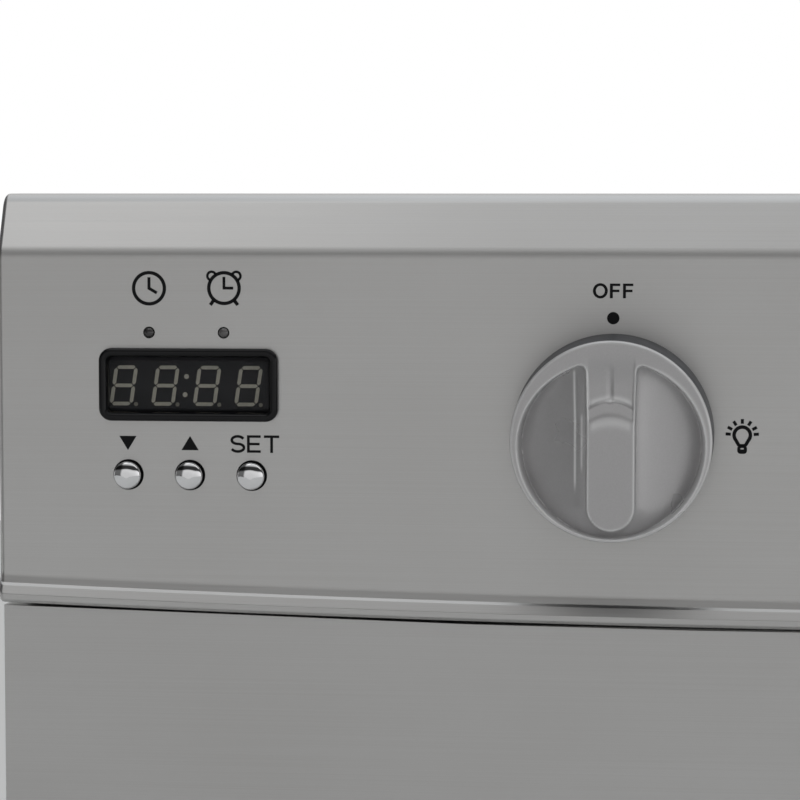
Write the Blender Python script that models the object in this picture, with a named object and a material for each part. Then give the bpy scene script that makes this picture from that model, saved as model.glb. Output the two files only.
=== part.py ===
"""Cabinet food dehydrator: steel control panel, side-hinged glass door, six sliding trays.

Millimetres are used for the named sizes and turned into metres when a mesh is made.
+Z is up, the front faces -Y, and the origin is under the middle of the cabinet on the table.
"""
import math

import bmesh
import bpy

MM = 0.001

# overall
WIDTH = 460.0
TOP = 480.0
FOOT = 15.0
REAR = 237.5
FRONT = -192.0
SHEET = 1.2
COVER = 0.8
GAP = 0.3

# control panel, measured down from its top edge
BAND = 3.2
STRIP = 10.2
LEAN = 5.9
CREASE = 94.4
LIP = 97.2
LIP_END = 101.0
LIP_OUT = 1.9
SAG = 4.2
PANEL_REAR = -164.8

# controls, measured from the panel's left end and top edge
KNOB_AT = (151.8, 58.1)
KNOB_R = 24.2
KNOB_LONG = 22.0
KNOB_BASE = 7.5
BUTTON_U = (32.6, 47.95, 63.3)
BUTTON_V = 69.1
BUTTON_R = 3.35
BUTTON_OUT = 3.0
BEZEL_AT = (47.75, 46.8)
BEZEL = (44.4, 17.9, 3.1)
WINDOW = (40.0, 12.2, 0.8)
LED_U = (37.95, 56.45)
LED_V = 34.0

# cabinet
SHELL_TOP = 472.0
SHELL_FRONT = -163.5
FRAME_Y = -161.0
FRAME_TOP = 392.0
OPENING = (204.0, 41.0, 362.0)

# chamber
LINER = (206.0, 40.0, 368.0)
LINER_Y = (-159.5, 172.0)
LINER_WALL = 1.0
TRAY_X = 192.0
TRAY_Y = (-125.0, 155.0)
TRAY_HIGH = 12.0
TRAY_PITCH = 46.0
TRAY_FIRST = 78.0
TRAYS = 6
TRAY_SLOTS = 12
RACK_X = (198.0, 199.2)
LEDGE_IN = 184.0

# fan bay
FAN_Z = 205.0
FAN_R = 65.0
HEATER_R = 84.0
SHROUD_Y = (172.3, 203.0)

# door
DOOR_X = 229.0
DOOR_Y = (-192.0, -167.0)
DOOR_BACK = -168.2
DOOR_LOW = 24.0
DOOR_GAP = 0.9
PANE = (190.5, 62.5, 333.5)
SIGHT = (182.0, 71.0, 325.0)
HINGE = (-222.0, -175.5)
HANDLE_X = 207.0
HANDLE_R = 7.0
HANDLE_Z = (115.0, 305.0)

FINISHES = {
    "stainless": ((0.55, 0.55, 0.54), 0.32, 1.0),
    "inner_steel": ((0.60, 0.60, 0.58), 0.38, 1.0),
    "coated_steel": ((0.30, 0.30, 0.31), 0.45, 1.0),
    "satin_plastic": ((0.42, 0.41, 0.42), 0.40, 0.3),
    "chrome": ((0.80, 0.80, 0.80), 0.10, 1.0),
    "black_plastic": ((0.02, 0.02, 0.02), 0.35, 0.0),
    "glass": ((0.70, 0.75, 0.75), 0.05, 0.0),
    "smoked": ((0.05, 0.05, 0.06), 0.08, 0.0),
    "rubber": ((0.03, 0.03, 0.03), 0.70, 0.0),
    "board": ((0.05, 0.22, 0.10), 0.50, 0.0),
    "red_lens": ((0.35, 0.30, 0.28), 0.20, 0.0),
    "ceramic": ((0.80, 0.78, 0.72), 0.60, 0.0),
    "white_plastic": ((0.75, 0.75, 0.73), 0.45, 0.0),
    "magnet": ((0.18, 0.17, 0.17), 0.60, 0.2),
}


def clear_scene():
    """Remove everything that a new file starts with."""
    for obj in list(bpy.data.objects):
        bpy.data.objects.remove(obj, do_unlink=True)


def finish(owner, kind):
    """One Principled material of its own for each sub-part."""
    colour, rough, metal = FINISHES[kind]
    mat = bpy.data.materials.new("mat_" + owner)
    mat.use_nodes = True
    shader = mat.node_tree.nodes["Principled BSDF"]
    shader.inputs["Base Color"].default_value = (*colour, 1.0)
    shader.inputs["Roughness"].default_value = rough
    shader.inputs["Metallic"].default_value = metal
    return mat


def add_mesh(name, verts, faces, kind=None, smooth=False):
    """Make one object from points in millimetres, with its faces turned outwards."""
    mesh = bpy.data.meshes.new(name)
    mesh.from_pydata([tuple(c * MM for c in v) for v in verts], [], faces)
    work = bmesh.new()
    work.from_mesh(mesh)
    bmesh.ops.recalc_face_normals(work, faces=work.faces)
    work.to_mesh(mesh)
    work.free()
    obj = bpy.data.objects.new(name, mesh)
    bpy.context.scene.collection.objects.link(obj)
    if kind:
        mesh.materials.append(finish(name, kind))
    if smooth:
        for face in mesh.polygons:
            face.use_smooth = True
        mesh.set_sharp_from_angle(angle=math.radians(35))
    return obj


def place(axis, flat, along):
    """Put a flat (a, b) point and its distance along the axis into x, y, z."""
    a, b = flat
    if axis == "x":
        return (along, a, b)
    if axis == "y":
        return (a, along, b)
    return (a, b, along)


def prism_data(axis, outline, low, high, start=0):
    """Points and faces of an outline pushed from low to high along an axis."""
    count = len(outline)
    verts = [place(axis, p, low) for p in outline]
    verts += [place(axis, p, high) for p in outline]
    faces = [tuple(start + i for i in range(count))]
    faces.append(tuple(start + count + i for i in reversed(range(count))))
    for i in range(count):
        j = (i + 1) % count
        faces.append((start + i, start + j, start + count + j, start + count + i))
    return verts, faces


def prism(name, axis, outline, low, high, kind=None, smooth=False):
    """A straight solid with a constant outline."""
    verts, faces = prism_data(axis, outline, low, high)
    return add_mesh(name, verts, faces, kind, smooth)


def box_outline(a0, a1, b0, b1):
    """Corners of a rectangle."""
    return [(a0, b0), (a1, b0), (a1, b1), (a0, b1)]


def box(name, xs, ys, zs, kind=None):
    """A block between two corners."""
    return prism(name, "z", box_outline(*xs, *ys), zs[0], zs[1], kind)


def blocks(name, spans, kind=None):
    """Several separate blocks in one mesh, used to cut or add a row of shapes at once."""
    verts = []
    faces = []
    for xs, ys, zs in spans:
        more, rings = prism_data("z", box_outline(*xs, *ys), zs[0], zs[1], len(verts))
        verts += more
        faces += rings
    return add_mesh(name, verts, faces, kind)


def circle(radius, centre, count=32):
    """Points of a circle."""
    turn = 2.0 * math.pi / count
    return [(centre[0] + radius * math.cos(i * turn), centre[1] + radius * math.sin(i * turn))
            for i in range(count)]


def round_box(centre, size, radius, steps=4):
    """Outline of a rectangle with rounded corners."""
    half_a = size[0] / 2.0 - radius
    half_b = size[1] / 2.0 - radius
    points = []
    for quarter, (sa, sb) in enumerate(((1, 1), (-1, 1), (-1, -1), (1, -1))):
        for step in range(steps + 1):
            angle = math.pi / 2.0 * (quarter + step / steps)
            a = centre[0] + sa * half_a + radius * math.cos(angle)
            b = centre[1] + sb * half_b + radius * math.sin(angle)
            points.append((a, b))
    return points


def turned(name, axis, centre, profile, kind=None, count=32):
    """A turned solid: a profile of (radius, distance along the axis) with both ends on the axis."""
    verts = [place(axis, centre, profile[0][1])]
    inner = profile[1:-1]
    for radius, along in inner:
        verts += [place(axis, p, along) for p in circle(radius, centre, count)]
    verts.append(place(axis, centre, profile[-1][1]))
    last = len(verts) - 1
    faces = []
    for i in range(count):
        j = (i + 1) % count
        faces.append((0, 1 + i, 1 + j))
        base = 1 + (len(inner) - 1) * count
        faces.append((last, base + j, base + i))
        for ring in range(len(inner) - 1):
            low = 1 + ring * count
            high = low + count
            faces.append((low + i, high + i, high + j, low + j))
    return add_mesh(name, verts, faces, kind, smooth=True)


def rod(name, axis, centre, radius, low, high, kind=None, count=24):
    """A plain round bar."""
    profile = [(0.0, low), (radius, low), (radius, high), (0.0, high)]
    return turned(name, axis, centre, profile, kind, count)


def combine(target, others, operation):
    """Cut or join shapes with the exact solver and keep the helpers out of the model."""
    for index, other in enumerate(others):
        other.hide_render = True
        other.display_type = "WIRE"
        mod = target.modifiers.new(f"{operation.lower()}_{index}", "BOOLEAN")
        mod.operation = operation
        mod.solver = "EXACT"
        mod.object = other
    return target


def cut(target, *others):
    """Take the other shapes away from the target."""
    return combine(target, others, "DIFFERENCE")


def join(target, *others):
    """Add the other shapes to the target."""
    return combine(target, others, "UNION")


def set_origin(obj, point):
    """Move only the origin of an object, given in millimetres."""
    shift = [c * MM for c in point]
    for vert in obj.data.vertices:
        vert.co.x -= shift[0]
        vert.co.y -= shift[1]
        vert.co.z -= shift[2]
    obj.location = shift
    return obj


def panel_point(u, v):
    """Turn a place on the control panel into the x and z of the model."""
    return (u - WIDTH / 2.0, TOP - v)


def sag_at(x):
    """How far the lower edge of the panel hangs below its ends."""
    return SAG * (1.0 - (2.0 * x / WIDTH) ** 2)


def panel_profile(x):
    """Outer side of the folded panel sheet as (y, z), from the rear top flange round the front."""
    drop = sag_at(x)
    top_y = FRONT + LEAN
    fold_z = TOP - BAND - STRIP
    low = TOP - drop
    return [
        (PANEL_REAR, TOP - 9.0),
        (PANEL_REAR, TOP),
        (top_y + BAND, TOP),
        (top_y, TOP - BAND),
        (FRONT + 0.7, fold_z + 0.4),
        (FRONT + 0.15, fold_z - 0.6),
        (FRONT, fold_z - 1.6),
        (FRONT, low - CREASE),
        (FRONT - 0.5, low - CREASE - 1.4),
        (FRONT - LIP_OUT, low - LIP),
        (FRONT - LIP_OUT - 0.1, low - LIP_END + 1.1),
        (FRONT - LIP_OUT + 1.0, low - LIP_END),
        (FRONT + 14.0, low - LIP_END),
    ]


def offset_inwards(points, distance):
    """Shift an open line to its inner side by a sheet thickness, with mitred corners."""
    normals = []
    for (a0, b0), (a1, b1) in zip(points[:-1], points[1:]):
        size = math.hypot(a1 - a0, b1 - b0)
        normals.append((-(b1 - b0) / size, (a1 - a0) / size))
    moved = []
    for i, (a, b) in enumerate(points):
        first = normals[max(i - 1, 0)]
        second = normals[min(i, len(normals) - 1)]
        na = first[0] + second[0]
        nb = first[1] + second[1]
        scale = distance * 2.0 / (na * na + nb * nb)
        moved.append((a + na * scale, b + nb * scale))
    return moved


def panel_sheet():
    """The folded sheet of the control panel, swept across the width along its arched lower edge."""
    count = 16
    half = WIDTH / 2.0 - 0.02
    loops = []
    for i in range(count + 1):
        x = -half + 2.0 * half * i / count
        outer = panel_profile(x)
        inner = offset_inwards(outer, SHEET)
        loops.append([(x, y, z) for y, z in outer + inner[::-1]])
    size = len(loops[0])
    verts = [p for loop in loops for p in loop]
    faces = [tuple(range(size)), tuple(count * size + i for i in reversed(range(size)))]
    for i in range(count):
        for j in range(size):
            k = (j + 1) % size
            low = i * size
            faces.append((low + j, low + k, low + size + k, low + size + j))
    return add_mesh("control_panel", verts, faces, "stainless", smooth=True)


def panel_end(name, side):
    """Folded end wall that closes one end of the panel."""
    x = side * WIDTH / 2.0
    outline = panel_profile(x)[1:-1] + [(PANEL_REAR, TOP - LIP_END)]
    low, high = sorted((x, x - side * SHEET))
    return prism(name, "x", outline, low, high)


def panel_holes():
    """Holes for the two shafts, the buttons, the lights and the display."""
    knob = panel_point(*KNOB_AT)
    far = (-knob[0], knob[1])
    span = (FRONT - 4.0, FRONT + 4.0)
    holes = [rod("cut_shaft_left", "y", knob, 4.5, *span, count=20)]
    holes.append(rod("cut_shaft_right", "y", far, 4.5, *span, count=20))
    for i, u in enumerate(BUTTON_U):
        centre = panel_point(u, BUTTON_V)
        holes.append(rod(f"cut_button_{i}", "y", centre, BUTTON_R + 0.25, *span, count=20))
    for i, u in enumerate(LED_U):
        holes.append(rod(f"cut_led_{i}", "y", panel_point(u, LED_V), 1.5, *span, count=12))
    centre = panel_point(*BEZEL_AT)
    outline = round_box(centre, (BEZEL[0] - 2.4, BEZEL[1] - 2.4), BEZEL[2] - 1.2)
    holes.append(prism("cut_display", "y", outline, *span))
    return holes


def control_panel():
    """Control panel with its end walls and holes."""
    panel = panel_sheet()
    join(panel, panel_end("add_end_left", -1.0), panel_end("add_end_right", 1.0))
    cut(panel, *panel_holes())


def outer_shell():
    """Wrap-around cover: both sides and the top in one bent sheet."""
    out = WIDTH / 2.0 - 0.5
    inn = out - COVER
    low = FOOT + 2.0
    outline = [(-out, low), (-inn, low), (-inn, SHELL_TOP - COVER), (inn, SHELL_TOP - COVER),
               (inn, low), (out, low), (out, SHELL_TOP), (-out, SHELL_TOP)]
    prism("outer_shell", "y", outline, SHELL_FRONT, REAR - COVER - GAP, "coated_steel")


def base_pan():
    """Shallow steel pan that carries the feet and everything inside."""
    pan = box("base_pan", (-228.0, 228.0), (FRAME_Y + 1.6, 235.6), (FOOT + 0.2, 30.0), "coated_steel")
    cut(pan, box("cut_base", (-226.8, 226.8), (FRAME_Y + 2.8, 234.4), (FOOT + 1.4, 40.0)))


def rear_panel():
    """Rear cover with air slots and the opening for the mains inlet."""
    half = WIDTH / 2.0 - 0.5
    panel = box("rear_panel", (-half, half), (REAR - COVER, REAR), (FOOT + 0.5, SHELL_TOP), "coated_steel")
    spans = []
    for i in range(8):
        z = 165.0 + 11.0 * i
        spans.append(((-60.0, 60.0), (REAR - 5.0, REAR + 5.0), (z, z + 5.0)))
    for side in (-1.0, 1.0):
        for i in range(3):
            z = 410.0 + 11.0 * i
            xs = sorted((side * 90.0, side * 190.0))
            spans.append((xs, (REAR - 5.0, REAR + 5.0), (z, z + 5.0)))
    spans.append(((155.5, 184.5), (REAR - 5.0, REAR + 5.0), (49.5, 70.5)))
    cut(panel, blocks("cut_rear", spans))


def front_frame():
    """Flat front frame round the chamber opening; the door seals against it."""
    wide, low, high = OPENING
    frame = box("front_frame", (-228.0, 228.0), (FRAME_Y, FRAME_Y + SHEET), (FOOT + 2.5, FRAME_TOP), "stainless")
    cut(frame, box("cut_frame", (-wide, wide), (FRAME_Y - 5.0, FRAME_Y + 5.0), (low, high)))


def chamber_liner():
    """Inner steel box that holds the racks, with openings for fan and lamp."""
    wide, low, high = LINER
    wall = LINER_WALL
    liner = box("chamber_liner", (-wide, wide), LINER_Y, (low, high), "inner_steel")
    inside = box("cut_inside", (-wide + wall, wide - wall), (LINER_Y[0] - 5.0, LINER_Y[1] - wall),
                 (low + wall, high - wall))
    fan = box("cut_fan", (-125.0, 125.0), (160.0, 180.0), (FAN_Z - 100.0, FAN_Z + 100.0))
    lamp = rod("cut_lamp", "z", (120.0, 60.0), 19.0, high - 8.0, high + 8.0, count=24)
    probe = rod("cut_probe", "y", (-150.0, 357.0), 3.0, 160.0, 180.0, count=12)
    cut(liner, inside, fan, lamp, probe)


def rear_baffle():
    """Air guide in front of the fan: grille in the middle, outlet slots at the sides."""
    baffle = box("rear_baffle", (-180.0, 180.0), (160.0, 170.7), (70.0, 345.0), "inner_steel")
    hollow = box("cut_baffle", (-179.0, 179.0), (161.0, 180.0), (71.0, 344.0))
    spans = []
    for i in range(7):
        z = FAN_Z - 45.0 + 13.8 * i
        half = 20.0 + 30.0 * math.sqrt(1.0 - (abs(i - 3) / 4.0) ** 2)
        spans.append(((-half, half), (150.0, 165.0), (z, z + 8.0)))
    for side in (-1.0, 1.0):
        for i in range(5):
            z = 92.0 + 50.0 * i
            xs = sorted((side * 120.0, side * 165.0))
            spans.append((xs, (150.0, 165.0), (z, z + 8.0)))
    cut(baffle, hollow, blocks("cut_grille", spans))


def tray_level(index):
    """Height of the ledge that carries a tray, counted from below."""
    return TRAY_FIRST + TRAY_PITCH * index


def side_rack(name, side):
    """Wall plate with one ledge per tray."""
    xs = sorted((side * RACK_X[0], side * RACK_X[1]))
    plate = box(name, xs, (-140.0, 155.0), (56.0, 350.0), "inner_steel")
    spans = []
    for i in range(TRAYS):
        z = tray_level(i)
        ledge = sorted((side * LEDGE_IN, side * (RACK_X[0] + 1.0)))
        spans.append((ledge, (-139.0, 154.0), (z - 1.5, z)))
    join(plate, blocks("add_" + name, spans))


def tray(index):
    """Sliding drying tray: a rim with a slatted floor."""
    name = f"tray_{index + 1}"
    low = tray_level(index) + GAP
    y0, y1 = TRAY_Y
    body = box(name, (-TRAY_X, TRAY_X), (y0, y1), (low, low + TRAY_HIGH), "chrome")
    rim = 3.0
    pocket = box("cut_pocket_" + name, (-TRAY_X + rim, TRAY_X - rim), (y0 + rim, y1 - rim),
                 (low + 3.0, low + 20.0))
    spans = []
    pitch = (2.0 * TRAY_X - 15.0) / TRAY_SLOTS
    for i in range(TRAY_SLOTS):
        x = -TRAY_X + 7.5 + pitch * i + 1.5
        spans.append(((x, x + pitch - 3.0), (y0 + 8.0, y1 - 8.0), (low - 5.0, low + 5.0)))
    cut(body, pocket, blocks("cut_slots_" + name, spans))
    set_origin(body, (0.0, 0.0, low))


def drip_tray():
    """Shallow pan on the chamber floor that catches drips and crumbs."""
    low = LINER[1] + LINER_WALL + GAP
    pan = box("drip_tray", (-190.0, 190.0), (-125.0, 155.0), (low, low + 12.0), "inner_steel")
    cut(pan, box("cut_drip", (-188.8, 188.8), (-123.8, 153.8), (low + 1.2, low + 20.0)))
    set_origin(pan, (0.0, 0.0, low))


def fan_shroud():
    """Dish behind the chamber that holds the fan and the heater."""
    low = FAN_Z - 105.0
    high = FAN_Z + 105.0
    dish = box("fan_shroud", (-130.0, 130.0), SHROUD_Y, (low, high), "inner_steel")
    hollow = box("cut_dish", (-129.0, 129.0), (160.0, SHROUD_Y[1] - 1.0), (low + 1.0, high - 1.0))
    shaft = rod("cut_dish_shaft", "y", (0.0, FAN_Z), 7.0, 195.0, 210.0, count=16)
    spans = []
    for side in (-1.0, 1.0):
        for i in range(3):
            z = FAN_Z - 20.0 + 16.0 * i
            xs = sorted((side * 38.0, side * 58.0))
            spans.append((xs, (195.0, 210.0), (z, z + 8.0)))
        centre = side * 12.0
        spans.append(((centre - 5.0, centre + 5.0), (195.0, 210.0), (FAN_Z - 89.0, FAN_Z - 79.0)))
    cut(dish, hollow, shaft, blocks("cut_intake", spans))


def fan_motor():
    """Shaded-pole motor can with its square mounting flange."""
    centre = (0.0, FAN_Z)
    can = turned("fan_motor", "y", centre, [(0.0, 203.4), (30.0, 203.4), (30.0, 229.0), (28.0, 231.0), (0.0, 231.0)],
                 "coated_steel", 32)
    flange = prism("add_motor_flange", "y", round_box(centre, (72.0, 50.0), 6.0, 2), 203.3, 205.5)
    join(can, flange)
    cut(can, rod("cut_motor_shaft", "y", centre, 3.3, 198.0, 220.0, count=16))


def fan_rotor():
    """Fan shaft and the radial impeller fixed to it."""
    centre = (0.0, FAN_Z)
    shaft = rod("fan_shaft", "y", centre, 3.0, 182.0, 219.0, "chrome", 16)
    set_origin(shaft, (0.0, 200.0, FAN_Z))
    profile = [(0.0, 185.0), (14.0, 185.0), (14.0, 197.0), (FAN_R, 197.0), (FAN_R, 199.0), (0.0, 199.0)]
    wheel = turned("fan_impeller", "y", centre, profile, "inner_steel", 28)
    verts = []
    faces = []
    for i in range(7):
        more, rings = prism_data("y", blade_outline(i * 2.0 * math.pi / 7.0), 183.0, 198.0, len(verts))
        verts += more
        faces += rings
    blades = add_mesh("add_blades", verts, faces)
    join(wheel, blades)
    cut(wheel, rod("cut_wheel_bore", "y", centre, 3.3, 175.0, 205.0, count=16))
    set_origin(wheel, (0.0, 200.0, FAN_Z))


def blade_outline(turn):
    """One curved blade of the impeller, seen along its axis."""
    front = []
    back = []
    for i in range(4):
        share = i / 3.0
        radius = 24.0 + (FAN_R - 26.0) * share
        angle = turn - 0.35 * share
        spread = 1.0 / radius
        front.append((radius * math.cos(angle + spread), FAN_Z + radius * math.sin(angle + spread)))
        back.append((radius * math.cos(angle - spread), FAN_Z + radius * math.sin(angle - spread)))
    return front + back[::-1]


def tube(name, path, radius, kind, count=8):
    """A round tube of solid rod along a path of points, closed at both ends."""
    verts = []
    total = len(path)
    for i, point in enumerate(path):
        before = path[max(i - 1, 0)]
        after = path[min(i + 1, total - 1)]
        way = [after[k] - before[k] for k in range(3)]
        size = math.sqrt(sum(c * c for c in way))
        way = [c / size for c in way]
        side, up = cross_axes(way)
        for step in range(count):
            turn = 2.0 * math.pi * step / count
            c = math.cos(turn) * radius
            s = math.sin(turn) * radius
            verts.append(tuple(point[k] + side[k] * c + up[k] * s for k in range(3)))
    faces = [tuple(range(count)), tuple((total - 1) * count + i for i in reversed(range(count)))]
    for i in range(total - 1):
        for j in range(count):
            k = (j + 1) % count
            faces.append((i * count + j, i * count + k, (i + 1) * count + k, (i + 1) * count + j))
    return add_mesh(name, verts, faces, kind, smooth=True)


def cross_axes(way):
    """Two directions across a path, kept steady by one fixed helper direction."""
    guide = (0.35, 0.25, 0.9) if abs(way[2]) < 0.6 else (0.9, 0.25, 0.35)
    side = (way[1] * guide[2] - way[2] * guide[1],
            way[2] * guide[0] - way[0] * guide[2],
            way[0] * guide[1] - way[1] * guide[0])
    size = math.sqrt(sum(c * c for c in side))
    side = tuple(c / size for c in side)
    up = (way[1] * side[2] - way[2] * side[1],
          way[2] * side[0] - way[0] * side[2],
          way[0] * side[1] - way[1] * side[0])
    return side, up


def heater_element():
    """Sheathed heating rod bent round the fan, with both ends led out at the rear."""
    plane = 188.0
    leg_x = 12.0
    opening = math.asin(leg_x / HEATER_R)
    path = []
    for i in range(29):
        angle = -math.pi / 2.0 + opening + (2.0 * math.pi - 2.0 * opening) * i / 28.0
        path.append((HEATER_R * math.cos(angle), plane, FAN_Z + HEATER_R * math.sin(angle)))
    first = path[0]
    last = path[-1]
    start = [(first[0], 216.0, first[2]), (first[0], 192.0, first[2])]
    end = [(last[0], 192.0, last[2]), (last[0], 216.0, last[2])]
    ring = heater_solid(start, path, end)
    return ring


def heater_solid(start, path, end):
    """Join the ring and its two straight ends into one rod."""
    ring = tube("heater_element", path, 3.2, "coated_steel", 6)
    leg_one = rod("add_leg_one", "y", (start[0][0], start[0][2]), 3.3, 184.0, start[0][1], count=8)
    leg_two = rod("add_leg_two", "y", (end[0][0], end[0][2]), 3.3, 184.0, end[1][1], count=8)
    return join(ring, leg_one, leg_two)


def fan_bay():
    """Everything between the chamber and the rear cover."""
    fan_shroud()
    fan_motor()
    fan_rotor()
    heater_element()
    rod("thermal_cutout", "y", (92.0, FAN_Z + 30.0), 9.0, 203.3, 214.0, "ceramic", 24)
    rod("thermostat_sensor", "y", (-150.0, 357.0), 2.2, 120.0, 182.0, "chrome", 12)


def lamp():
    """Chamber lamp: socket cup above the ceiling, bulb, and glass cover below."""
    at = (120.0, 60.0)
    top = LINER[2] + GAP
    cup = rod("lamp_holder", "z", at, 24.0, top, top + 44.0, "ceramic", 28)
    cut(cup, rod("cut_cup", "z", at, 19.0, top - 5.0, top + 40.0, count=28))
    profile = [(0.0, 372.0), (8.0, 374.0), (11.5, 380.0), (11.5, 388.0), (7.0, 398.0), (7.0, 407.9), (0.0, 407.9)]
    turned("lamp_bulb", "z", at, profile, "glass", 20)
    cover = turned("lamp_cover", "z", at, [(0.0, 354.0), (12.0, 355.5), (18.5, 361.0), (18.5, 367.8), (0.0, 367.8)],
                   "glass", 20)
    cut(cover, turned("cut_cover", "z", at, [(0.0, 356.5), (10.5, 358.0), (16.5, 362.0), (16.5, 372.0), (0.0, 372.0)],
                      count=20))


def display():
    """Clock display: raised black bezel, smoked window and digit block behind it."""
    centre = panel_point(*BEZEL_AT)
    bezel = prism("display_bezel", "y", round_box(centre, BEZEL[:2], BEZEL[2]), FRONT - 1.8, FRONT - GAP,
                  "black_plastic", smooth=True)
    neck = prism("add_neck", "y", round_box(centre, (BEZEL[0] - 3.2, BEZEL[1] - 3.2), BEZEL[2] - 1.6),
                 FRONT - 1.0, FRONT + 1.5)
    join(bezel, neck)
    cut(bezel, prism("cut_window", "y", round_box(centre, WINDOW[:2], WINDOW[2], 2), FRONT - 5.0, FRONT + 5.0))
    prism("display_window", "y", round_box(centre, (WINDOW[0] - 0.5, WINDOW[1] - 0.5), 0.6, 2),
          FRONT - 1.2, FRONT + 0.2, "smoked")
    x, z = centre
    box("display_module", (x - 20.2, x + 20.2), (FRONT + 2.0, FRONT + 9.0), (z - 7.2, z + 7.2), "black_plastic")


def timer_board():
    """Circuit board with three push switches, and the plastic box that carries it."""
    x, z = panel_point(BEZEL_AT[0], 55.0)
    board = box("timer_board", (x - 33.0, x + 33.0), (FRONT + 9.5, FRONT + 11.1), (z - 26.0, z + 26.0), "board")
    spans = []
    for u in BUTTON_U:
        bx, bz = panel_point(u, BUTTON_V)
        spans.append(((bx - 3.0, bx + 3.0), (FRONT + 6.8, FRONT + 10.0), (bz - 3.0, bz + 3.0)))
    join(board, blocks("add_switches", spans))
    housing = box("timer_housing", (x - 35.0, x + 35.0), (FRONT + 11.5, FRONT + 32.0), (z - 28.0, z + 28.0),
                  "white_plastic")
    cut(housing, box("cut_housing", (x - 33.0, x + 33.0), (FRONT + 5.0, FRONT + 30.0), (z - 26.0, z + 26.0)))


def button(name, u):
    """Push button with a collar behind the panel that stops it coming out."""
    centre = panel_point(u, BUTTON_V)
    y = FRONT
    profile = [(0.0, y - BUTTON_OUT), (BUTTON_R - 0.5, y - BUTTON_OUT), (BUTTON_R, y - BUTTON_OUT + 0.5),
               (BUTTON_R, y + 1.5), (4.6, y + 1.5), (4.6, y + 2.6), (2.0, y + 2.6), (2.0, y + 5.2), (0.0, y + 5.2)]
    cap = turned(name, "y", centre, profile, "chrome", 20)
    set_origin(cap, (centre[0], y, centre[1]))


def light(name, u):
    """Small indicator light that looks through the panel."""
    y = FRONT
    profile = [(0.0, y - 0.7), (0.8, y - 0.5), (1.2, y), (1.2, y + 9.0), (0.0, y + 9.0)]
    turned(name, "y", panel_point(u, LED_V), profile, "red_lens", 12)


def knob(name, centre):
    """Round turning knob with a raised grip bar and a blind bore for its shaft."""
    near = FRONT - 0.8
    base = near - KNOB_BASE
    tip = near - KNOB_LONG
    profile = [(0.0, near), (KNOB_R, near), (KNOB_R, base), (KNOB_R - 0.6, base - 0.6), (0.0, base - 0.6)]
    body = turned(name, "y", centre, profile[::-1], "satin_plastic", 40)
    bar = prism("add_bar_" + name, "y", bar_outline(centre), tip, near - 2.0)
    join(body, bar)
    cut(body, rod("cut_bore_" + name, "y", centre, 3.3, tip + 4.0, near + 5.0, count=16))
    set_origin(body, (centre[0], FRONT, centre[1]))


def bar_outline(centre):
    """Grip bar across the knob, with its ends on the knob's own circle."""
    half = 5.6
    reach = KNOB_R - 0.4
    limit = math.asin(half / reach)
    points = []
    for i in range(5):
        angle = math.pi / 2.0 + limit - 2.0 * limit * i / 4.0
        points.append((centre[0] + reach * math.cos(angle), centre[1] + reach * math.sin(angle)))
    return points + [(2.0 * centre[0] - a, 2.0 * centre[1] - b) for a, b in points]


def rotary(switch_name, shaft_name, centre, size, kind):
    """A rotary switch behind the panel and the shaft that turns in it."""
    x, z = centre
    y = FRONT
    outline = round_box(centre, size, 3.0, 2)
    switch = prism(switch_name, "y", outline, y + 1.8, y + 34.0, kind)
    cut(switch, rod("cut_" + switch_name, "y", centre, 3.3, y - 3.0, y + 22.0, count=16))
    shaft = rod(shaft_name, "y", centre, 3.0, y - 18.0, y + 20.0, "chrome", 16)
    set_origin(shaft, (x, y, z))


def controls():
    """Everything mounted on the control panel."""
    display()
    timer_board()
    for name, u in zip(("button_down", "button_up", "button_set"), BUTTON_U):
        button(name, u)
    for name, u in zip(("clock_light", "alarm_light"), LED_U):
        light(name, u)
    left = panel_point(*KNOB_AT)
    right = (-left[0], left[1])
    rotary("selector_switch", "selector_shaft", left, (42.0, 42.0), "white_plastic")
    rotary("thermostat_body", "thermostat_shaft", right, (38.0, 46.0), "coated_steel")
    knob("selector_knob", left)
    knob("thermostat_knob", right)


def door_outline(inset):
    """Outline of the door, whose top follows the arch of the control panel."""
    half = DOOR_X - inset
    points = [(-half, DOOR_LOW + inset), (half, DOOR_LOW + inset)]
    count = 16
    for i in range(count + 1):
        x = half - 2.0 * half * i / count
        points.append((x, TOP - LIP_END - DOOR_GAP - inset - sag_at(x)))
    return points


def ring(name, half, low, high, band, ys, kind):
    """A flat rectangular frame."""
    frame = box(name, (-half, half), ys, (low, high), kind)
    inner = box("cut_" + name, (-half + band, half - band), (ys[0] - 5.0, ys[1] + 5.0), (low + band, high - band))
    return cut(frame, inner)


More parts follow.
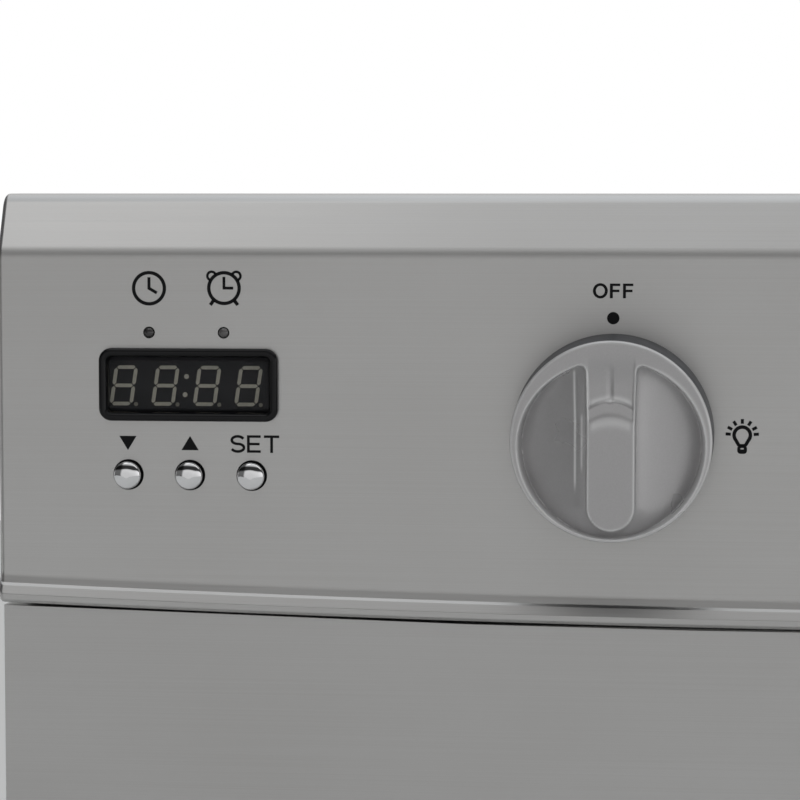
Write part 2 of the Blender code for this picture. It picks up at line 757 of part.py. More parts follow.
def door_frame():
    """Pressed door frame, open at the back, with a rebate for the pane and solid hinge corners."""
    hx, hy = HINGE
    frame = prism("door_frame", "y", door_outline(0.0), DOOR_Y[0], DOOR_BACK - GAP, "stainless")
    wide, low, high = SIGHT
    sight = box("cut_sight", (-wide, wide), (-200.0, -160.0), (low, high))
    wide, low, high = PANE
    rebate = box("cut_rebate", (-wide - GAP, wide + GAP), (-182.3, -160.0), (low - GAP, high + GAP))
    pocket = box("cut_pocket", (-235.0, hx + 9.5), (hy - 9.5, -160.0), (374.5, 385.0))
    upper = rod("cut_pin_upper", "z", HINGE, 2.9, 362.0, 380.0, count=16)
    lower = rod("cut_pin_lower", "z", HINGE, 2.9, 20.0, 36.0, count=16)
    skin = DOOR_Y[0] + 1.5
    edge = DOOR_X - 1.5
    inner = wide + 1.8
    hollow = blocks("cut_hollow", [
        ((-edge, -inner), (skin, -160.0), (low - 0.8, high + 0.8)),
        ((-205.0, 205.0), (skin, -160.0), (high + 1.8, 372.5)),
        ((-205.0, 205.0), (skin, -160.0), (DOOR_LOW + 1.5, low - 1.8)),
        ((inner, edge), (skin, -160.0), (low - 0.8, high + 0.8)),
    ])
    cut(frame, sight, rebate, pocket, upper, lower, hollow)
    return set_origin(frame, (hx, hy, 0.0))


def door_inner():
    """Inner door panel: closes the back of the frame, holds the pane and carries the gasket."""
    panel = prism("door_inner", "y", door_outline(1.0), DOOR_BACK, DOOR_Y[1], "inner_steel")
    wide, low, high = PANE
    lip = box("add_lip", (-wide, wide), (-177.7, DOOR_BACK + 0.5), (low, high))
    opening = box("cut_inner", (-wide + 6.0, wide - 6.0), (-180.0, -160.0), (low + 6.0, high - 6.0))
    space = box("cut_space", (-wide + 1.2, wide - 1.2), (-176.5, DOOR_BACK), (low + 1.2, high - 1.2))
    pocket = box("cut_inner_pocket", (-235.0, HINGE[0] + 9.5), (-175.0, -160.0), (374.5, 385.0))
    join(panel, lip)
    cut(panel, opening, space, pocket)
    return panel


def hinge(name, leaf_z, back_z, pin_z):
    """Hinge bracket: a leaf under or over the door, a back leaf on the front frame and a pin."""
    hx, hy = HINGE
    outline = [(hx - 5.8, -161.3), (hx - 5.8, hy)]
    outline += [(hx + 5.8 * math.cos(a), hy + 5.8 * math.sin(a))
                for a in (math.pi * (1.0 + i / 8.0) for i in range(1, 8))]
    outline += [(hx + 5.8, hy), (hx + 5.8, -161.3)]
    leaf = prism(name, "z", outline, leaf_z[0], leaf_z[1], "coated_steel")
    back = box("add_back_" + name, (hx - 5.8, hx + 7.8), (-163.2, -161.3), back_z)
    pin = rod("add_pin_" + name, "z", HINGE, 2.5, pin_z[0], pin_z[1], count=16)
    join(leaf, back, pin)


def door():
    """The swinging door with everything that rides on it, and its hinges and catch."""
    origin = (HINGE[0], HINGE[1], 0.0)
    door_frame()
    wide, low, high = PANE
    pane = box("door_glass", (-wide, wide), (-182.0, -178.0), (low, high), "glass")
    inner = door_inner()
    gasket = ring("door_gasket", 214.0, 30.0, 370.5, 6.0, (-166.7, -161.4), "rubber")
    grip = rod("door_handle", "z", (HANDLE_X, -233.0), HANDLE_R, HANDLE_Z[0], HANDLE_Z[1], "stainless", 28)
    strike = box("catch_strike", (216.0, 227.0), (-166.7, -165.5), (190.0, 214.0), "coated_steel")
    upper = post("handle_post_upper", 280.0)
    lower = post("handle_post_lower", 140.0)
    for piece in (pane, inner, gasket, grip, strike, upper, lower):
        set_origin(piece, origin)
    box("catch_magnet", (216.0, 227.0), (-165.2, -161.3), (190.0, 214.0), "magnet")
    hinge("hinge_upper", (375.4, 377.4), (375.4, 391.0), (364.0, 376.4))
    hinge("hinge_lower", (21.0, 23.4), (18.0, 23.4), (22.2, 34.0))


def post(name, z):
    """Short round stand-off between the handle and the door."""
    return rod(name, "y", (HANDLE_X, z), 4.5, -225.7, -192.3, "chrome", 20)


def feet():
    """Four turned rubber feet."""
    for name, x, y in (("foot_front_left", -190.0, -135.0), ("foot_front_right", 190.0, -135.0),
                       ("foot_rear_left", -190.0, 200.0), ("foot_rear_right", 190.0, 200.0)):
        profile = [(0.0, 0.0), (16.0, 0.0), (18.0, 2.0), (20.0, 12.0), (20.0, FOOT - 0.1), (0.0, FOOT - 0.1)]
        turned(name, "z", (x, y), profile, "rubber", 28)


def supply():
    """Mains inlet in the rear cover and the terminal block inside."""
    inlet = box("power_inlet", (156.0, 184.0), (212.0, 238.5), (50.0, 70.0), "black_plastic")
    flange = prism("add_inlet_flange", "y", round_box((170.0, 60.0), (48.0, 28.0), 4.0, 3), 237.8, 240.0)
    join(inlet, flange)
    socket = box("cut_socket", (158.5, 181.5), (222.0, 245.0), (52.0, 68.0))
    cut(inlet, socket)
    spans = []
    for x, z in ((163.0, 58.0), (170.0, 62.0), (177.0, 58.0)):
        spans.append(((x - 1.0, x + 1.0), (220.0, 235.0), (z - 2.0, z + 2.0)))
    join(inlet, blocks("add_inlet_pins", spans))
    block = box("terminal_block", (60.0, 110.0), (196.0, 214.0), (FOOT + 1.7, FOOT + 19.7), "white_plastic")
    wells = [((x, x + 8.0), (199.0, 211.0), (FOOT + 12.0, FOOT + 25.0)) for x in (63.0, 75.0, 87.0, 99.0)]
    cut(block, blocks("cut_wells", wells))


def build():
    """Build the whole dehydrator."""
    clear_scene()
    control_panel()
    outer_shell()
    base_pan()
    rear_panel()
    front_frame()
    chamber_liner()
    rear_baffle()
    side_rack("side_rack_left", -1.0)
    side_rack("side_rack_right", 1.0)
    for index in range(TRAYS):
        tray(index)
    drip_tray()
    fan_bay()
    lamp()
    controls()
    door()
    feet()
    supply()


build()
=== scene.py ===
"""Cabinet food dehydrator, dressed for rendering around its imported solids.

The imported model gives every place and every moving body. This file adds the fine shapes (folded control
panel, knobs, push buttons, clock display, printed symbols, door, trays, fan) and the finishes.
Sizes are named in millimetres and turned into metres when a mesh is made.
"""
from __future__ import annotations

import logging
import math
from collections.abc import Sequence
from dataclasses import dataclass
from enum import Enum

import bmesh
import bpy
import numpy as np
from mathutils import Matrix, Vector


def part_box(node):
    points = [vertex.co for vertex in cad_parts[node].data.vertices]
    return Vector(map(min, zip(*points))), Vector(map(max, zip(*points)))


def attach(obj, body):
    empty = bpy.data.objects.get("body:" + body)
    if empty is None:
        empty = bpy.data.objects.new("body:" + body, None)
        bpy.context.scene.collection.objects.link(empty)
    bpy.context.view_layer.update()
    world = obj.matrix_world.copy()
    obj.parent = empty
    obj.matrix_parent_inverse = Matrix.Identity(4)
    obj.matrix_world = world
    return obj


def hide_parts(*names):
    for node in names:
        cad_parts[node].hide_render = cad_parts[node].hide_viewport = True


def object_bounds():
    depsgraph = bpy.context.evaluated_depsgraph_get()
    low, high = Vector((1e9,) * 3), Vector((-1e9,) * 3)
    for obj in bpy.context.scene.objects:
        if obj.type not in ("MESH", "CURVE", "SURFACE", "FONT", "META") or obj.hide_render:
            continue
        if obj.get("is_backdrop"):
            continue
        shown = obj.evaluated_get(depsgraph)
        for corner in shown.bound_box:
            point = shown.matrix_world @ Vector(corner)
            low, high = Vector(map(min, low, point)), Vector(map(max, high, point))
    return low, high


LOG = logging.getLogger("dehydrator")
MM = 0.001
FOLD_ANGLE, ROUNDED_ANGLE = 30.0, 40.0  # degrees above which cut sheet and copied nodes keep an edge
Array = np.ndarray
Colour = tuple[float, float, float]
Spot = tuple[float, float, float]


class Axis(Enum):
    """Direction along which a flat outline is pushed or a profile is turned."""

    X = "x"
    Y = "y"
    Z = "z"


# ---------------------------------------------------------------- shapes


def unit(angles: Array) -> Array:
    """Points of the unit circle at the given angles, of shape (..., 2)."""
    return np.stack([np.cos(angles), np.sin(angles)], axis=-1)


def linked(name: str, data: bpy.types.ID) -> bpy.types.Object:
    """A new object in the scene that shows the given data."""
    obj = bpy.data.objects.new(name, data)
    bpy.context.scene.collection.objects.link(obj)
    return obj


def placed(flat: Array, along: Array | float, axis: Axis) -> Array:
    """Join flat (a, b) points and their distance along an axis into x, y, z points.

    Args:
        flat: points of shape (..., 2).
        along: distances of shape (...), or one distance for all.
        axis: direction of the distances.

    Returns:
        Points of shape (..., 3) in millimetres.
    """
    a, b = flat[..., 0], flat[..., 1]
    along = np.broadcast_to(along, a.shape)
    order = {Axis.X: (along, a, b), Axis.Y: (a, along, b), Axis.Z: (a, b, along)}
    return np.stack(order[axis], axis=-1)


def grid_quads(rows: int, cols: int, close_rows: bool, close_cols: bool) -> Array:
    """Quads of a grid whose point number is row * cols + column.

    Args:
        rows: number of rows of points.
        cols: number of columns of points.
        close_rows: whether the last row joins the first.
        close_cols: whether the last column joins the first.

    Returns:
        Whole numbers of shape (quads, 4).
    """
    r = np.arange(rows if close_rows else rows - 1)[:, None]
    c = np.arange(cols if close_cols else cols - 1)[None, :]
    r2, c2 = (r + 1) % rows, (c + 1) % cols
    corners = (r * cols + c, r * cols + c2, r2 * cols + c2, r2 * cols + c)
    return np.stack([np.broadcast_to(k, (r.shape[0], c.shape[1])) for k in corners], axis=-1).reshape(-1, 4)


class Shape:
    """Points and faces gathered for one piece, in millimetres."""

    def __init__(self) -> None:
        """Start with no points."""
        self.points: list[Array] = []
        self.faces: list[list[int]] = []
        self.total = 0

    def add(self, points: Array, faces: Sequence[Sequence[int]] | Array) -> Shape:
        """Add points and the faces between them.

        Args:
            points: any array whose last side is 3.
            faces: point numbers counted from the first added point.

        Returns:
            This shape.
        """
        flat = np.asarray(points, dtype=float).reshape(-1, 3)
        self.points.append(flat)
        if isinstance(faces, np.ndarray):
            self.faces += (faces + self.total).tolist()
        else:
            self.faces += [[i + self.total for i in face] for face in faces]
        self.total += len(flat)
        return self

    def net(self, net: Array, close_rows: bool = False, close_cols: bool = True, caps: bool = False) -> Shape:
        """Add a grid of points of shape (rows, columns, 3).

        Args:
            net: the grid.
            close_rows: whether the last row joins the first.
            close_cols: whether the last column joins the first.
            caps: whether one flat face closes the first and the last row.

        Returns:
            This shape.
        """
        rows, cols = net.shape[:2]
        faces = grid_quads(rows, cols, close_rows, close_cols).tolist()
        if caps:
            faces.append(list(range(cols)))
            faces.append(list(range((rows - 1) * cols, rows * cols)))
        return self.add(net, faces)

    def show(self, name: str, sharp: float) -> bpy.types.Object:
        """Make a bare object of the gathered points and faces, in metres."""
        mesh = bpy.data.meshes.new(name)
        mesh.from_pydata((np.concatenate(self.points) * MM).tolist(), [], self.faces)
        tidy_mesh(mesh, sharp)
        return linked(name, mesh)

    def piece(self, name: str, finish: Finish, body: str, stands_for: Sequence[str] = (),
              sharp: float = 35.0) -> bpy.types.Object:
        """Make the object, dress it and tie it to its body.

        Args:
            name: name of the piece.
            finish: what it is made of.
            body: the moving body that it rides on.
            stands_for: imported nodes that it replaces.
            sharp: edges that turn more than this many degrees stay sharp.

        Returns:
            The finished piece.
        """
        obj = self.show(name, sharp)
        obj.data.materials.append(finish.material())
        return tie(obj, body, stands_for)


def tidy_mesh(mesh: bpy.types.Mesh, sharp: float) -> None:
    """Merge doubled points, turn all faces outwards and shade smoothly between sharp edges.

    Args:
        mesh: the mesh to tidy.
        sharp: edges that turn more than this many degrees stay sharp.
    """
    work = bmesh.new()
    work.from_mesh(mesh)
    bmesh.ops.remove_doubles(work, verts=work.verts, dist=0.002 * MM)
    bmesh.ops.recalc_face_normals(work, faces=work.faces)
    work.to_mesh(mesh)
    work.free()
    mesh.shade_smooth()
    mesh.set_sharp_from_angle(angle=math.radians(sharp))


def tie(obj: bpy.types.Object, body: str, stands_for: Sequence[str] = ()) -> bpy.types.Object:
    """Let a piece ride on its body and hide the imported nodes that it stands for."""
    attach(obj, body)
    if stands_for:
        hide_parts(*stands_for)
    LOG.info("made %s on %s", obj.name, body)
    return obj


def box_mm(node: str) -> tuple[Array, Array]:
    """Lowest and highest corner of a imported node, in millimetres."""
    low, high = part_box(node)
    return np.array(low) / MM, np.array(high) / MM


def filleted(corners: Sequence[Spot], steps: int = 5) -> Array:
    """Open line through corners, each rounded to its radius.

    A corner is replaced by an arc that leaves the first side and joins the second at the distance
    radius * tan(half the turn) from the corner.

    Args:
        corners: (a, b, radius) for each corner; the ends have radius 0.
        steps: straight pieces in each arc.

    Returns:
        Points of shape (n, 2).
    """
    line: list[Array] = []
    spots = np.array([c[:2] for c in corners], dtype=float)
    for i, (_, _, radius) in enumerate(corners):
        if radius <= 0.0 or i in (0, len(corners) - 1):
            line.append(spots[i][None])
            continue
        back, ahead = spots[i - 1] - spots[i], spots[i + 1] - spots[i]
        back, ahead = back / np.linalg.norm(back), ahead / np.linalg.norm(ahead)
        turn = math.pi - math.acos(float(np.clip(back @ ahead, -1.0, 1.0)))
        middle = (back + ahead) / np.linalg.norm(back + ahead)
        centre = spots[i] + middle * radius / math.cos(turn / 2.0)
        angles = np.linspace(-turn / 2.0, turn / 2.0, steps + 1)[:, None]
        across = (ahead - back) / np.linalg.norm(ahead - back)
        line.append(centre - middle * radius * np.cos(angles) + across * radius * np.sin(angles))
    return np.concatenate(line)


def offset_line(line: Array, distance: float, closed: bool = False) -> Array:
    """Shift a line sideways, to its left when followed, with mitred corners.

    Args:
        line: points of shape (n, 2).
        distance: how far.
        closed: whether the last point joins the first.

    Returns:
        Shifted points of shape (n, 2).
    """
    ahead = np.roll(line, -1, axis=0) - line
    behind = line - np.roll(line, 1, axis=0)
    if not closed:
        ahead[-1], behind[0] = behind[-1], ahead[0]
    normal_a = np.stack([-ahead[:, 1], ahead[:, 0]], axis=-1)
    normal_b = np.stack([-behind[:, 1], behind[:, 0]], axis=-1)
    normal_a /= np.maximum(np.linalg.norm(normal_a, axis=1, keepdims=True), 1e-12)
    normal_b /= np.maximum(np.linalg.norm(normal_b, axis=1, keepdims=True), 1e-12)
    both = normal_a + normal_b
    return line + distance * 2.0 * both / np.maximum((both ** 2).sum(axis=1, keepdims=True), 0.2)


def rounded_rectangle(centre: Sequence[float], size: Sequence[float], radius: float, steps: int = 8) -> Array:
    """Closed outline of a rectangle with round corners, counter-clockwise."""
    angles = np.linspace(0.0, math.pi / 2.0, steps + 1)
    quarter = np.arange(4)[:, None] * math.pi / 2.0 + angles[None, :]
    signs = np.array([(1, 1), (-1, 1), (-1, -1), (1, -1)])[:, None, :]
    half = np.array(size) / 2.0 - radius
    arc = unit(quarter) * radius
    return (np.array(centre) + signs * half + arc).reshape(-1, 2)


def circle(centre: Sequence[float], radius: float, count: int = 48) -> Array:
    """Closed circle outline, counter-clockwise."""
    angles = np.arange(count) * 2.0 * math.pi / count
    return np.array(centre) + radius * unit(angles)


def plate(shape: Shape, outline: Array, low: float, high: float, axis: Axis, soft: float = 0.0,
          steps: int = 4) -> Shape:
    """Push a closed outline from low to high, with both rims rounded over.

    Along each rim the outline shrinks by soft * (1 - cos t) while the height runs soft * sin t.

    Args:
        shape: the shape that receives it.
        outline: counter-clockwise points of shape (n, 2).
        low: start along the axis.
        high: end along the axis.
        axis: direction of the push.
        soft: radius of the rims.
        steps: straight pieces in each rim's arc.

    Returns:
        The shape.
    """
    if soft <= 0.0:
        insets, heights = np.zeros(2), np.array([low, high])
    else:
        turn = np.linspace(0.0, math.pi / 2.0, steps + 1)
        insets = np.concatenate([soft * (1.0 - np.sin(turn)), soft * (1.0 - np.cos(turn))])
        heights = np.concatenate([low + soft * (1.0 - np.cos(turn)), high - soft * (1.0 - np.sin(turn))])
    rings = [placed(offset_line(outline, i, True), h, axis) for i, h in zip(insets, heights)]
    return shape.net(np.stack(rings), caps=True)


def ring_plate(shape: Shape, outer: Array, inner: Array, low: float, high: float, axis: Axis,
               soft: float = 0.0, steps: int = 4) -> Shape:
    """Push the band between two outlines of the same point count, with rounded rims.

    The section runs round the band: up the outer wall, over the rim, down the inner wall and back.

    Args:
        shape: the shape that receives it.
        outer: counter-clockwise outer outline.
        inner: counter-clockwise inner outline.
        low: start along the axis.
        high: end along the axis.
        axis: direction of the push.
        soft: radius of the rims.
        steps: straight pieces in each rim's arc.

    Returns:
        The shape.
    """
    turn = np.linspace(0.0, math.pi / 2.0, steps + 1) if soft > 0.0 else np.zeros(1)
    inset = soft * (1.0 - np.cos(turn))
    rise = soft * (1.0 - np.sin(turn))
    rings = [placed(offset_line(outer, i, True), low + r, axis) for i, r in zip(inset[::-1], rise[::-1])]
    rings += [placed(offset_line(outer, i, True), high - r, axis) for i, r in zip(inset, rise)]
    rings += [placed(offset_line(inner, -i, True), high - r, axis) for i, r in zip(inset[::-1], rise[::-1])]
    rings += [placed(offset_line(inner, -i, True), low + r, axis) for i, r in zip(inset, rise)]
    return shape.net(np.stack(rings), close_rows=True)


def lathe(shape: Shape, profile: Array, centre: Sequence[float], axis: Axis, count: int = 64) -> Shape:
    """Turn a profile of (radius, distance along the axis) round an axis.

    Args:
        shape: the shape that receives it.
        profile: points of shape (n, 2), from one end of the axis to the other.
        centre: where the axis stands, in the two other directions.
        axis: the turning axis.
        count: points round the axis.

    Returns:
        The shape.
    """
    angles = np.arange(count) * 2.0 * math.pi / count
    flat = np.array(centre) + profile[:, 0][:, None, None] * unit(angles)[None]
    return shape.net(placed(flat, profile[:, 1][:, None], axis))


def tube(shape: Shape, path: Array, radius: float, count: int = 12, closed: bool = False) -> Shape:
    """Carry a circle along a path; each ring stands across the path's direction.

    Args:
        shape: the shape that receives it.
        path: points of shape (n, 3).
        radius: of the rod.
        count: points round the rod.
        closed: whether the path closes on itself.

    Returns:
        The shape.
    """
    ahead = np.roll(path, -1, axis=0) - np.roll(path, 1, axis=0)
    if not closed:
        ahead[0], ahead[-1] = path[1] - path[0], path[-1] - path[-2]
    ahead /= np.linalg.norm(ahead, axis=1, keepdims=True)
    spread = np.ptp(path, axis=0)
    guide = np.eye(3)[int(np.argmin(spread))] + 0.01
    side = np.cross(ahead, guide)
    side /= np.linalg.norm(side, axis=1, keepdims=True)
    up = np.cross(side, ahead)
    angles = (np.arange(count) * 2.0 * math.pi / count)[None, :, None]
    net = path[:, None] + radius * (np.cos(angles) * side[:, None] + np.sin(angles) * up[:, None])
    return shape.net(net, close_rows=closed, caps=not closed)


def rods(shape: Shape, starts: Array, ends: Array, radius: float, count: int = 6) -> Shape:
    """Many straight round rods at once.

    Args:
        shape: the shape that receives them.
        starts: points of shape (n, 3).
        ends: points of shape (n, 3).
        radius: of every rod.
        count: points round a rod.

    Returns:
        The shape.
    """
    way = ends - starts
    way = way / np.linalg.norm(way, axis=1, keepdims=True)
    side = np.cross(way, np.array([0.3, 0.2, 0.93]))
    side /= np.linalg.norm(side, axis=1, keepdims=True)
    up = np.cross(side, way)
    angles = (np.arange(count) * 2.0 * math.pi / count)[None, :, None]
    ring = radius * (np.cos(angles) * side[:, None] + np.sin(angles) * up[:, None])
    net = np.stack([starts[:, None] + ring, ends[:, None] + ring], axis=1)
    base = grid_quads(2, count, False, True).tolist() + [list(range(count)), list(range(count, 2 * count))]
    faces = [[i + n * 2 * count for i in face] for n in range(len(starts)) for face in base]
    return shape.add(net, faces)


def carved(obj: bpy.types.Object, cutters: Shape) -> None:
    """Take the cutters' volume away from a piece and keep only the result.

    Args:
        obj: the piece.
        cutters: closed shapes that don't touch each other.
    """
    tool = cutters.show("cutters", FOLD_ANGLE)
    mod = obj.modifiers.new("carve", "BOOLEAN")
    mod.operation = "DIFFERENCE"
    mod.solver = "EXACT"
    mod.object = tool
    bake_modifiers(obj)
    bpy.data.objects.remove(tool, do_unlink=True)
    obj.data.set_sharp_from_angle(angle=math.radians(FOLD_ANGLE))


def bake_modifiers(obj: bpy.types.Object) -> None:
    """Replace a piece's mesh by what its modifiers make of it."""
    result = bpy.data.meshes.new_from_object(obj.evaluated_get(bpy.context.evaluated_depsgraph_get()))
    obj.modifiers.clear()
    obj.data = result


def softened(node: str, finish: Finish, body: str, width: float) -> bpy.types.Object:
    """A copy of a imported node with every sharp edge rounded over, which then stands for the node.

    Args:
        node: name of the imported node.
        finish: what it is made of.
        body: the moving body that it rides on.
        width: width of the rounding in millimetres.

    Returns:
        The finished piece, named after the node with _soft.
    """
    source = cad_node(node)
    mesh = source.data.copy()
    mesh.transform(source.matrix_world)
    mesh.materials.clear()
    mesh.materials.append(finish.material())
    work = bmesh.new()
    work.from_mesh(mesh)
    bmesh.ops.remove_doubles(work, verts=work.verts, dist=0.001 * MM)
    bmesh.ops.dissolve_limit(work, angle_limit=math.radians(1.0), verts=work.verts, edges=work.edges)
    work.to_mesh(mesh)
    work.free()
    obj = linked(node + "_soft", mesh)
    bevel = obj.modifiers.new("round", "BEVEL")
    bevel.width = width * MM
    bevel.segments = 2
    bevel.limit_method = "ANGLE"
    bevel.angle_limit = math.radians(ROUNDED_ANGLE)
    bevel.use_clamp_overlap = True
    bake_modifiers(obj)
    obj.data.shade_smooth()
    obj.data.set_sharp_from_angle(angle=math.radians(ROUNDED_ANGLE))
    return tie(obj, body, (node,))


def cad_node(name: str) -> bpy.types.Object:
    """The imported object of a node."""
    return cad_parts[name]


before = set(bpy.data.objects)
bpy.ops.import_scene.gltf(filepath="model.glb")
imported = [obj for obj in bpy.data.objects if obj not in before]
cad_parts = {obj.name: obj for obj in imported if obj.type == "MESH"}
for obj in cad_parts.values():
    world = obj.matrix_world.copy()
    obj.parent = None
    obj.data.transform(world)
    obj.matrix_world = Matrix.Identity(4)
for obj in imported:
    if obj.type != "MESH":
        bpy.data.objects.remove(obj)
CAD_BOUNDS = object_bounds()


# ---------------------------------------------------------------- finishes


def add_node(tree: bpy.types.NodeTree, kind: str, inputs: Sequence[object], settings: dict) -> bpy.types.Node:
    """Add a node to a tree.

    Args:
        tree: the tree that receives it.
        kind: the node's type name.
        inputs: in order, a value, a socket to link, or None to leave alone.
        settings: properties of the node itself.

    Returns:
        The node.
    """
    made = tree.nodes.new(kind)
    for key, value in settings.items():
        setattr(made, key, value)
    for i, value in enumerate(inputs):
        if isinstance(value, bpy.types.NodeSocket):
            tree.links.new(value, made.inputs[i])
        elif value is not None:
            made.inputs[i].default_value = value
    return made


def even(cells: float) -> Spot:
    """The same number of noise cells per metre along x, y and z."""
    return (cells, cells, cells)


class Graph:
    """Short-hand for the nodes round one Principled shader."""

    def __init__(self, name: str, tone: Colour, roughness: float, **sockets: float | Colour) -> None:
        """Make the material and set the plain values on the shader's own sockets.

        Args:
            name: name of the material.
            tone: base colour, linear.
            roughness: mean roughness.
            sockets: other inputs of the shader, with _ for a space.
        """
        self.result = bpy.data.materials.new(name)
        self.result.use_nodes = True
        self.tree = self.result.node_tree
        self.shader = self.tree.nodes["Principled BSDF"]
        self.tone = tone
        self.shader.inputs["Base Color"].default_value = (*tone, 1.0)
        self.shader.inputs["Roughness"].default_value = roughness
        for key, value in sockets.items():
            socket = self.shader.inputs[key.replace("_", " ")]
            socket.default_value = (*value, 1.0) if isinstance(value, tuple) else value

    def node(self, kind: str, *inputs: object, **settings: object) -> bpy.types.Node:
        """Add a node to this material, as add_node says."""
        return add_node(self.tree, kind, inputs, settings)

    def feed(self, value: bpy.types.NodeSocket, socket: str) -> None:
        """Link a value to one of the shader's sockets."""
        self.tree.links.new(value, self.shader.inputs[socket])

    def noise(self, stretch: Spot, detail: float = 3.0, roughness: float = 0.55) -> bpy.types.NodeSocket:
        """Noise on object coordinates; stretch gives its cells per metre along x, y and z."""
        coords = self.node("ShaderNodeTexCoord").outputs["Object"]
        turned = self.node("ShaderNodeMapping", coords, None, None, stretch).outputs[0]
        made = self.node("ShaderNodeTexNoise", turned)
        made.inputs["Scale"].default_value = 1.0
        made.inputs["Detail"].default_value = detail
        made.inputs["Roughness"].default_value = roughness
        return made.outputs["Fac"]

    def spread(self, value: bpy.types.NodeSocket, low: float, high: float) -> bpy.types.NodeSocket:
        """Map the useful middle of a noise, 0.3 to 0.7, to low to high."""
        return self.node("ShaderNodeMapRange", value, 0.3, 0.7, low, high).outputs[0]

    def mean(self, first: bpy.types.NodeSocket, second: bpy.types.NodeSocket) -> bpy.types.NodeSocket:
        """Mean of two values."""
        half = self.node("ShaderNodeMath", first, second, operation="ADD").outputs[0]
        return self.node("ShaderNodeMath", half, 0.5, operation="MULTIPLY").outputs[0]

    def shade(self, value: bpy.types.NodeSocket, change: float, warm: float = 0.0) -> None:
        """Let the base colour run from darker to lighter with a noise.

        Args:
            value: the noise.
            change: share by which the colour falls and rises.
            warm: how much redder the dark end is.
        """
        dark = tuple(c * (1.0 - change) * (1.0 + w) for c, w in zip(self.tone, (warm, 0.0, -warm)))
        light = tuple(c * (1.0 + change) for c in self.tone)
        ramp = self.node("ShaderNodeValToRGB", value)
        ramp.color_ramp.elements[0].position = 0.3
        ramp.color_ramp.elements[1].position = 0.7
        ramp.color_ramp.elements[0].color = (*dark, 1.0)
        ramp.color_ramp.elements[1].color = (*light, 1.0)
        self.feed(ramp.outputs[0], "Base Color")

    def rough(self, value: bpy.types.NodeSocket, low: float, high: float) -> None:
        """Let the roughness run from low to high with a noise."""
        self.feed(self.spread(value, low, high), "Roughness")

    def bump(self, value: bpy.types.NodeSocket, height: float, strength: float = 1.0) -> None:
        """Raise the surface by a noise; height is in metres."""
        made = self.node("ShaderNodeBump")
        made.inputs["Strength"].default_value = strength
        made.inputs["Distance"].default_value = height
        self.tree.links.new(value, made.inputs["Height"])
        self.feed(made.outputs[0], "Normal")


@dataclass(frozen=True)
class Finish:
    """A finish: the slot name that it carries, its name and its mean colour."""

    slot: str
    label: str
    tone: Colour
    roughness: float = 0.4

    def material(self) -> bpy.types.Material:
        """The finish's material, made once."""
        return bpy.data.materials.get(self.label) or self.build().result

    def build(self) -> Graph:
        """Make the node graph."""
        raise NotImplementedError


@dataclass(frozen=True)
class BrushedSteel(Finish):
    """Stainless sheet with fine parallel brush lines, faint clouds and a blur across the lines."""

    grain: Axis = Axis.X
    blur: float = 0.6
    line: float = 3600.0
    depth: float = 0.00002

    def build(self) -> Graph:
        """Brush lines are noise stretched along the grain; clouds are a slow noise."""
        graph = Graph(self.label, self.tone, self.roughness, Metallic=1.0, Anisotropic=self.blur,
                      Anisotropic_Rotation=0.25 if self.grain is not Axis.Z else 0.0)
        run = 9.0
        way = {Axis.X: (run, self.line, self.line), Axis.Y: (self.line, run, self.line),
               Axis.Z: (self.line, self.line, run)}[self.grain]
        lines = graph.noise(way, 4.0, 0.6)
        clouds = graph.noise((9.0, 14.0, 14.0), 3.0)
        graph.shade(graph.mean(lines, clouds), 0.07, 0.01)
        graph.rough(lines, self.roughness - 0.03, self.roughness + 0.03)
        graph.bump(lines, self.depth, 0.35)
        around = graph.node("ShaderNodeTangent", direction_type="RADIAL", axis="Z").outputs[0]
        graph.feed(around, "Tangent")
        return graph


@dataclass(frozen=True)
class PlainMetal(Finish):
    """Bright drawn or plated metal with faint smears."""

    smear: float = 0.03

    def build(self) -> Graph:
        """Smears change the roughness; a fine grain dulls the reflection."""
        graph = Graph(self.label, self.tone, self.roughness, Metallic=1.0)
        cloud = graph.noise(even(120.0), 4.0)
        graph.rough(cloud, max(self.roughness - self.smear, 0.02), self.roughness + self.smear)
        graph.shade(cloud, 0.04)
        graph.bump(graph.noise(even(1500.0), 2.0), 0.000004, 0.3)
        return graph


@dataclass(frozen=True)
class Coating(Finish):
    """Baked powder coat on steel: fine orange peel and a soft sheen."""

    metal: float = 0.0

    def build(self) -> Graph:
        """Orange peel is a fine bump; a slow noise shifts the tone a little."""
        graph = Graph(self.label, self.tone, self.roughness, Metallic=self.metal)
        peel = graph.noise(even(1100.0), 2.0)
        graph.shade(graph.mean(peel, graph.noise(even(20.0))), 0.10)
        graph.rough(peel, self.roughness - 0.06, self.roughness + 0.08)
        graph.bump(peel, 0.00006, 0.5)
        return graph


@dataclass(frozen=True)
class MouldedPlastic(Finish):
    """Moulded plastic with a fine spark-eroded grain and a faint sheen along wear."""

    coat: float = 0.0
    grain: float = 3200.0
    metal: float = 0.0
    dull: float = 0.5

    def build(self) -> Graph:
        """A very fine bump for the grain and slow changes of gloss."""
        graph = Graph(self.label, self.tone, self.roughness, Coat_Weight=self.coat, Coat_Roughness=0.2,
                      Metallic=self.metal, Specular_IOR_Level=self.dull)
        fine = graph.noise(even(self.grain), 2.0)
        slow = graph.noise(even(60.0), 3.0)
        graph.shade(graph.mean(fine, slow), 0.06)
        graph.rough(slow, self.roughness - 0.04, self.roughness + 0.06)
        graph.bump(fine, 0.000012, 0.5)
        return graph


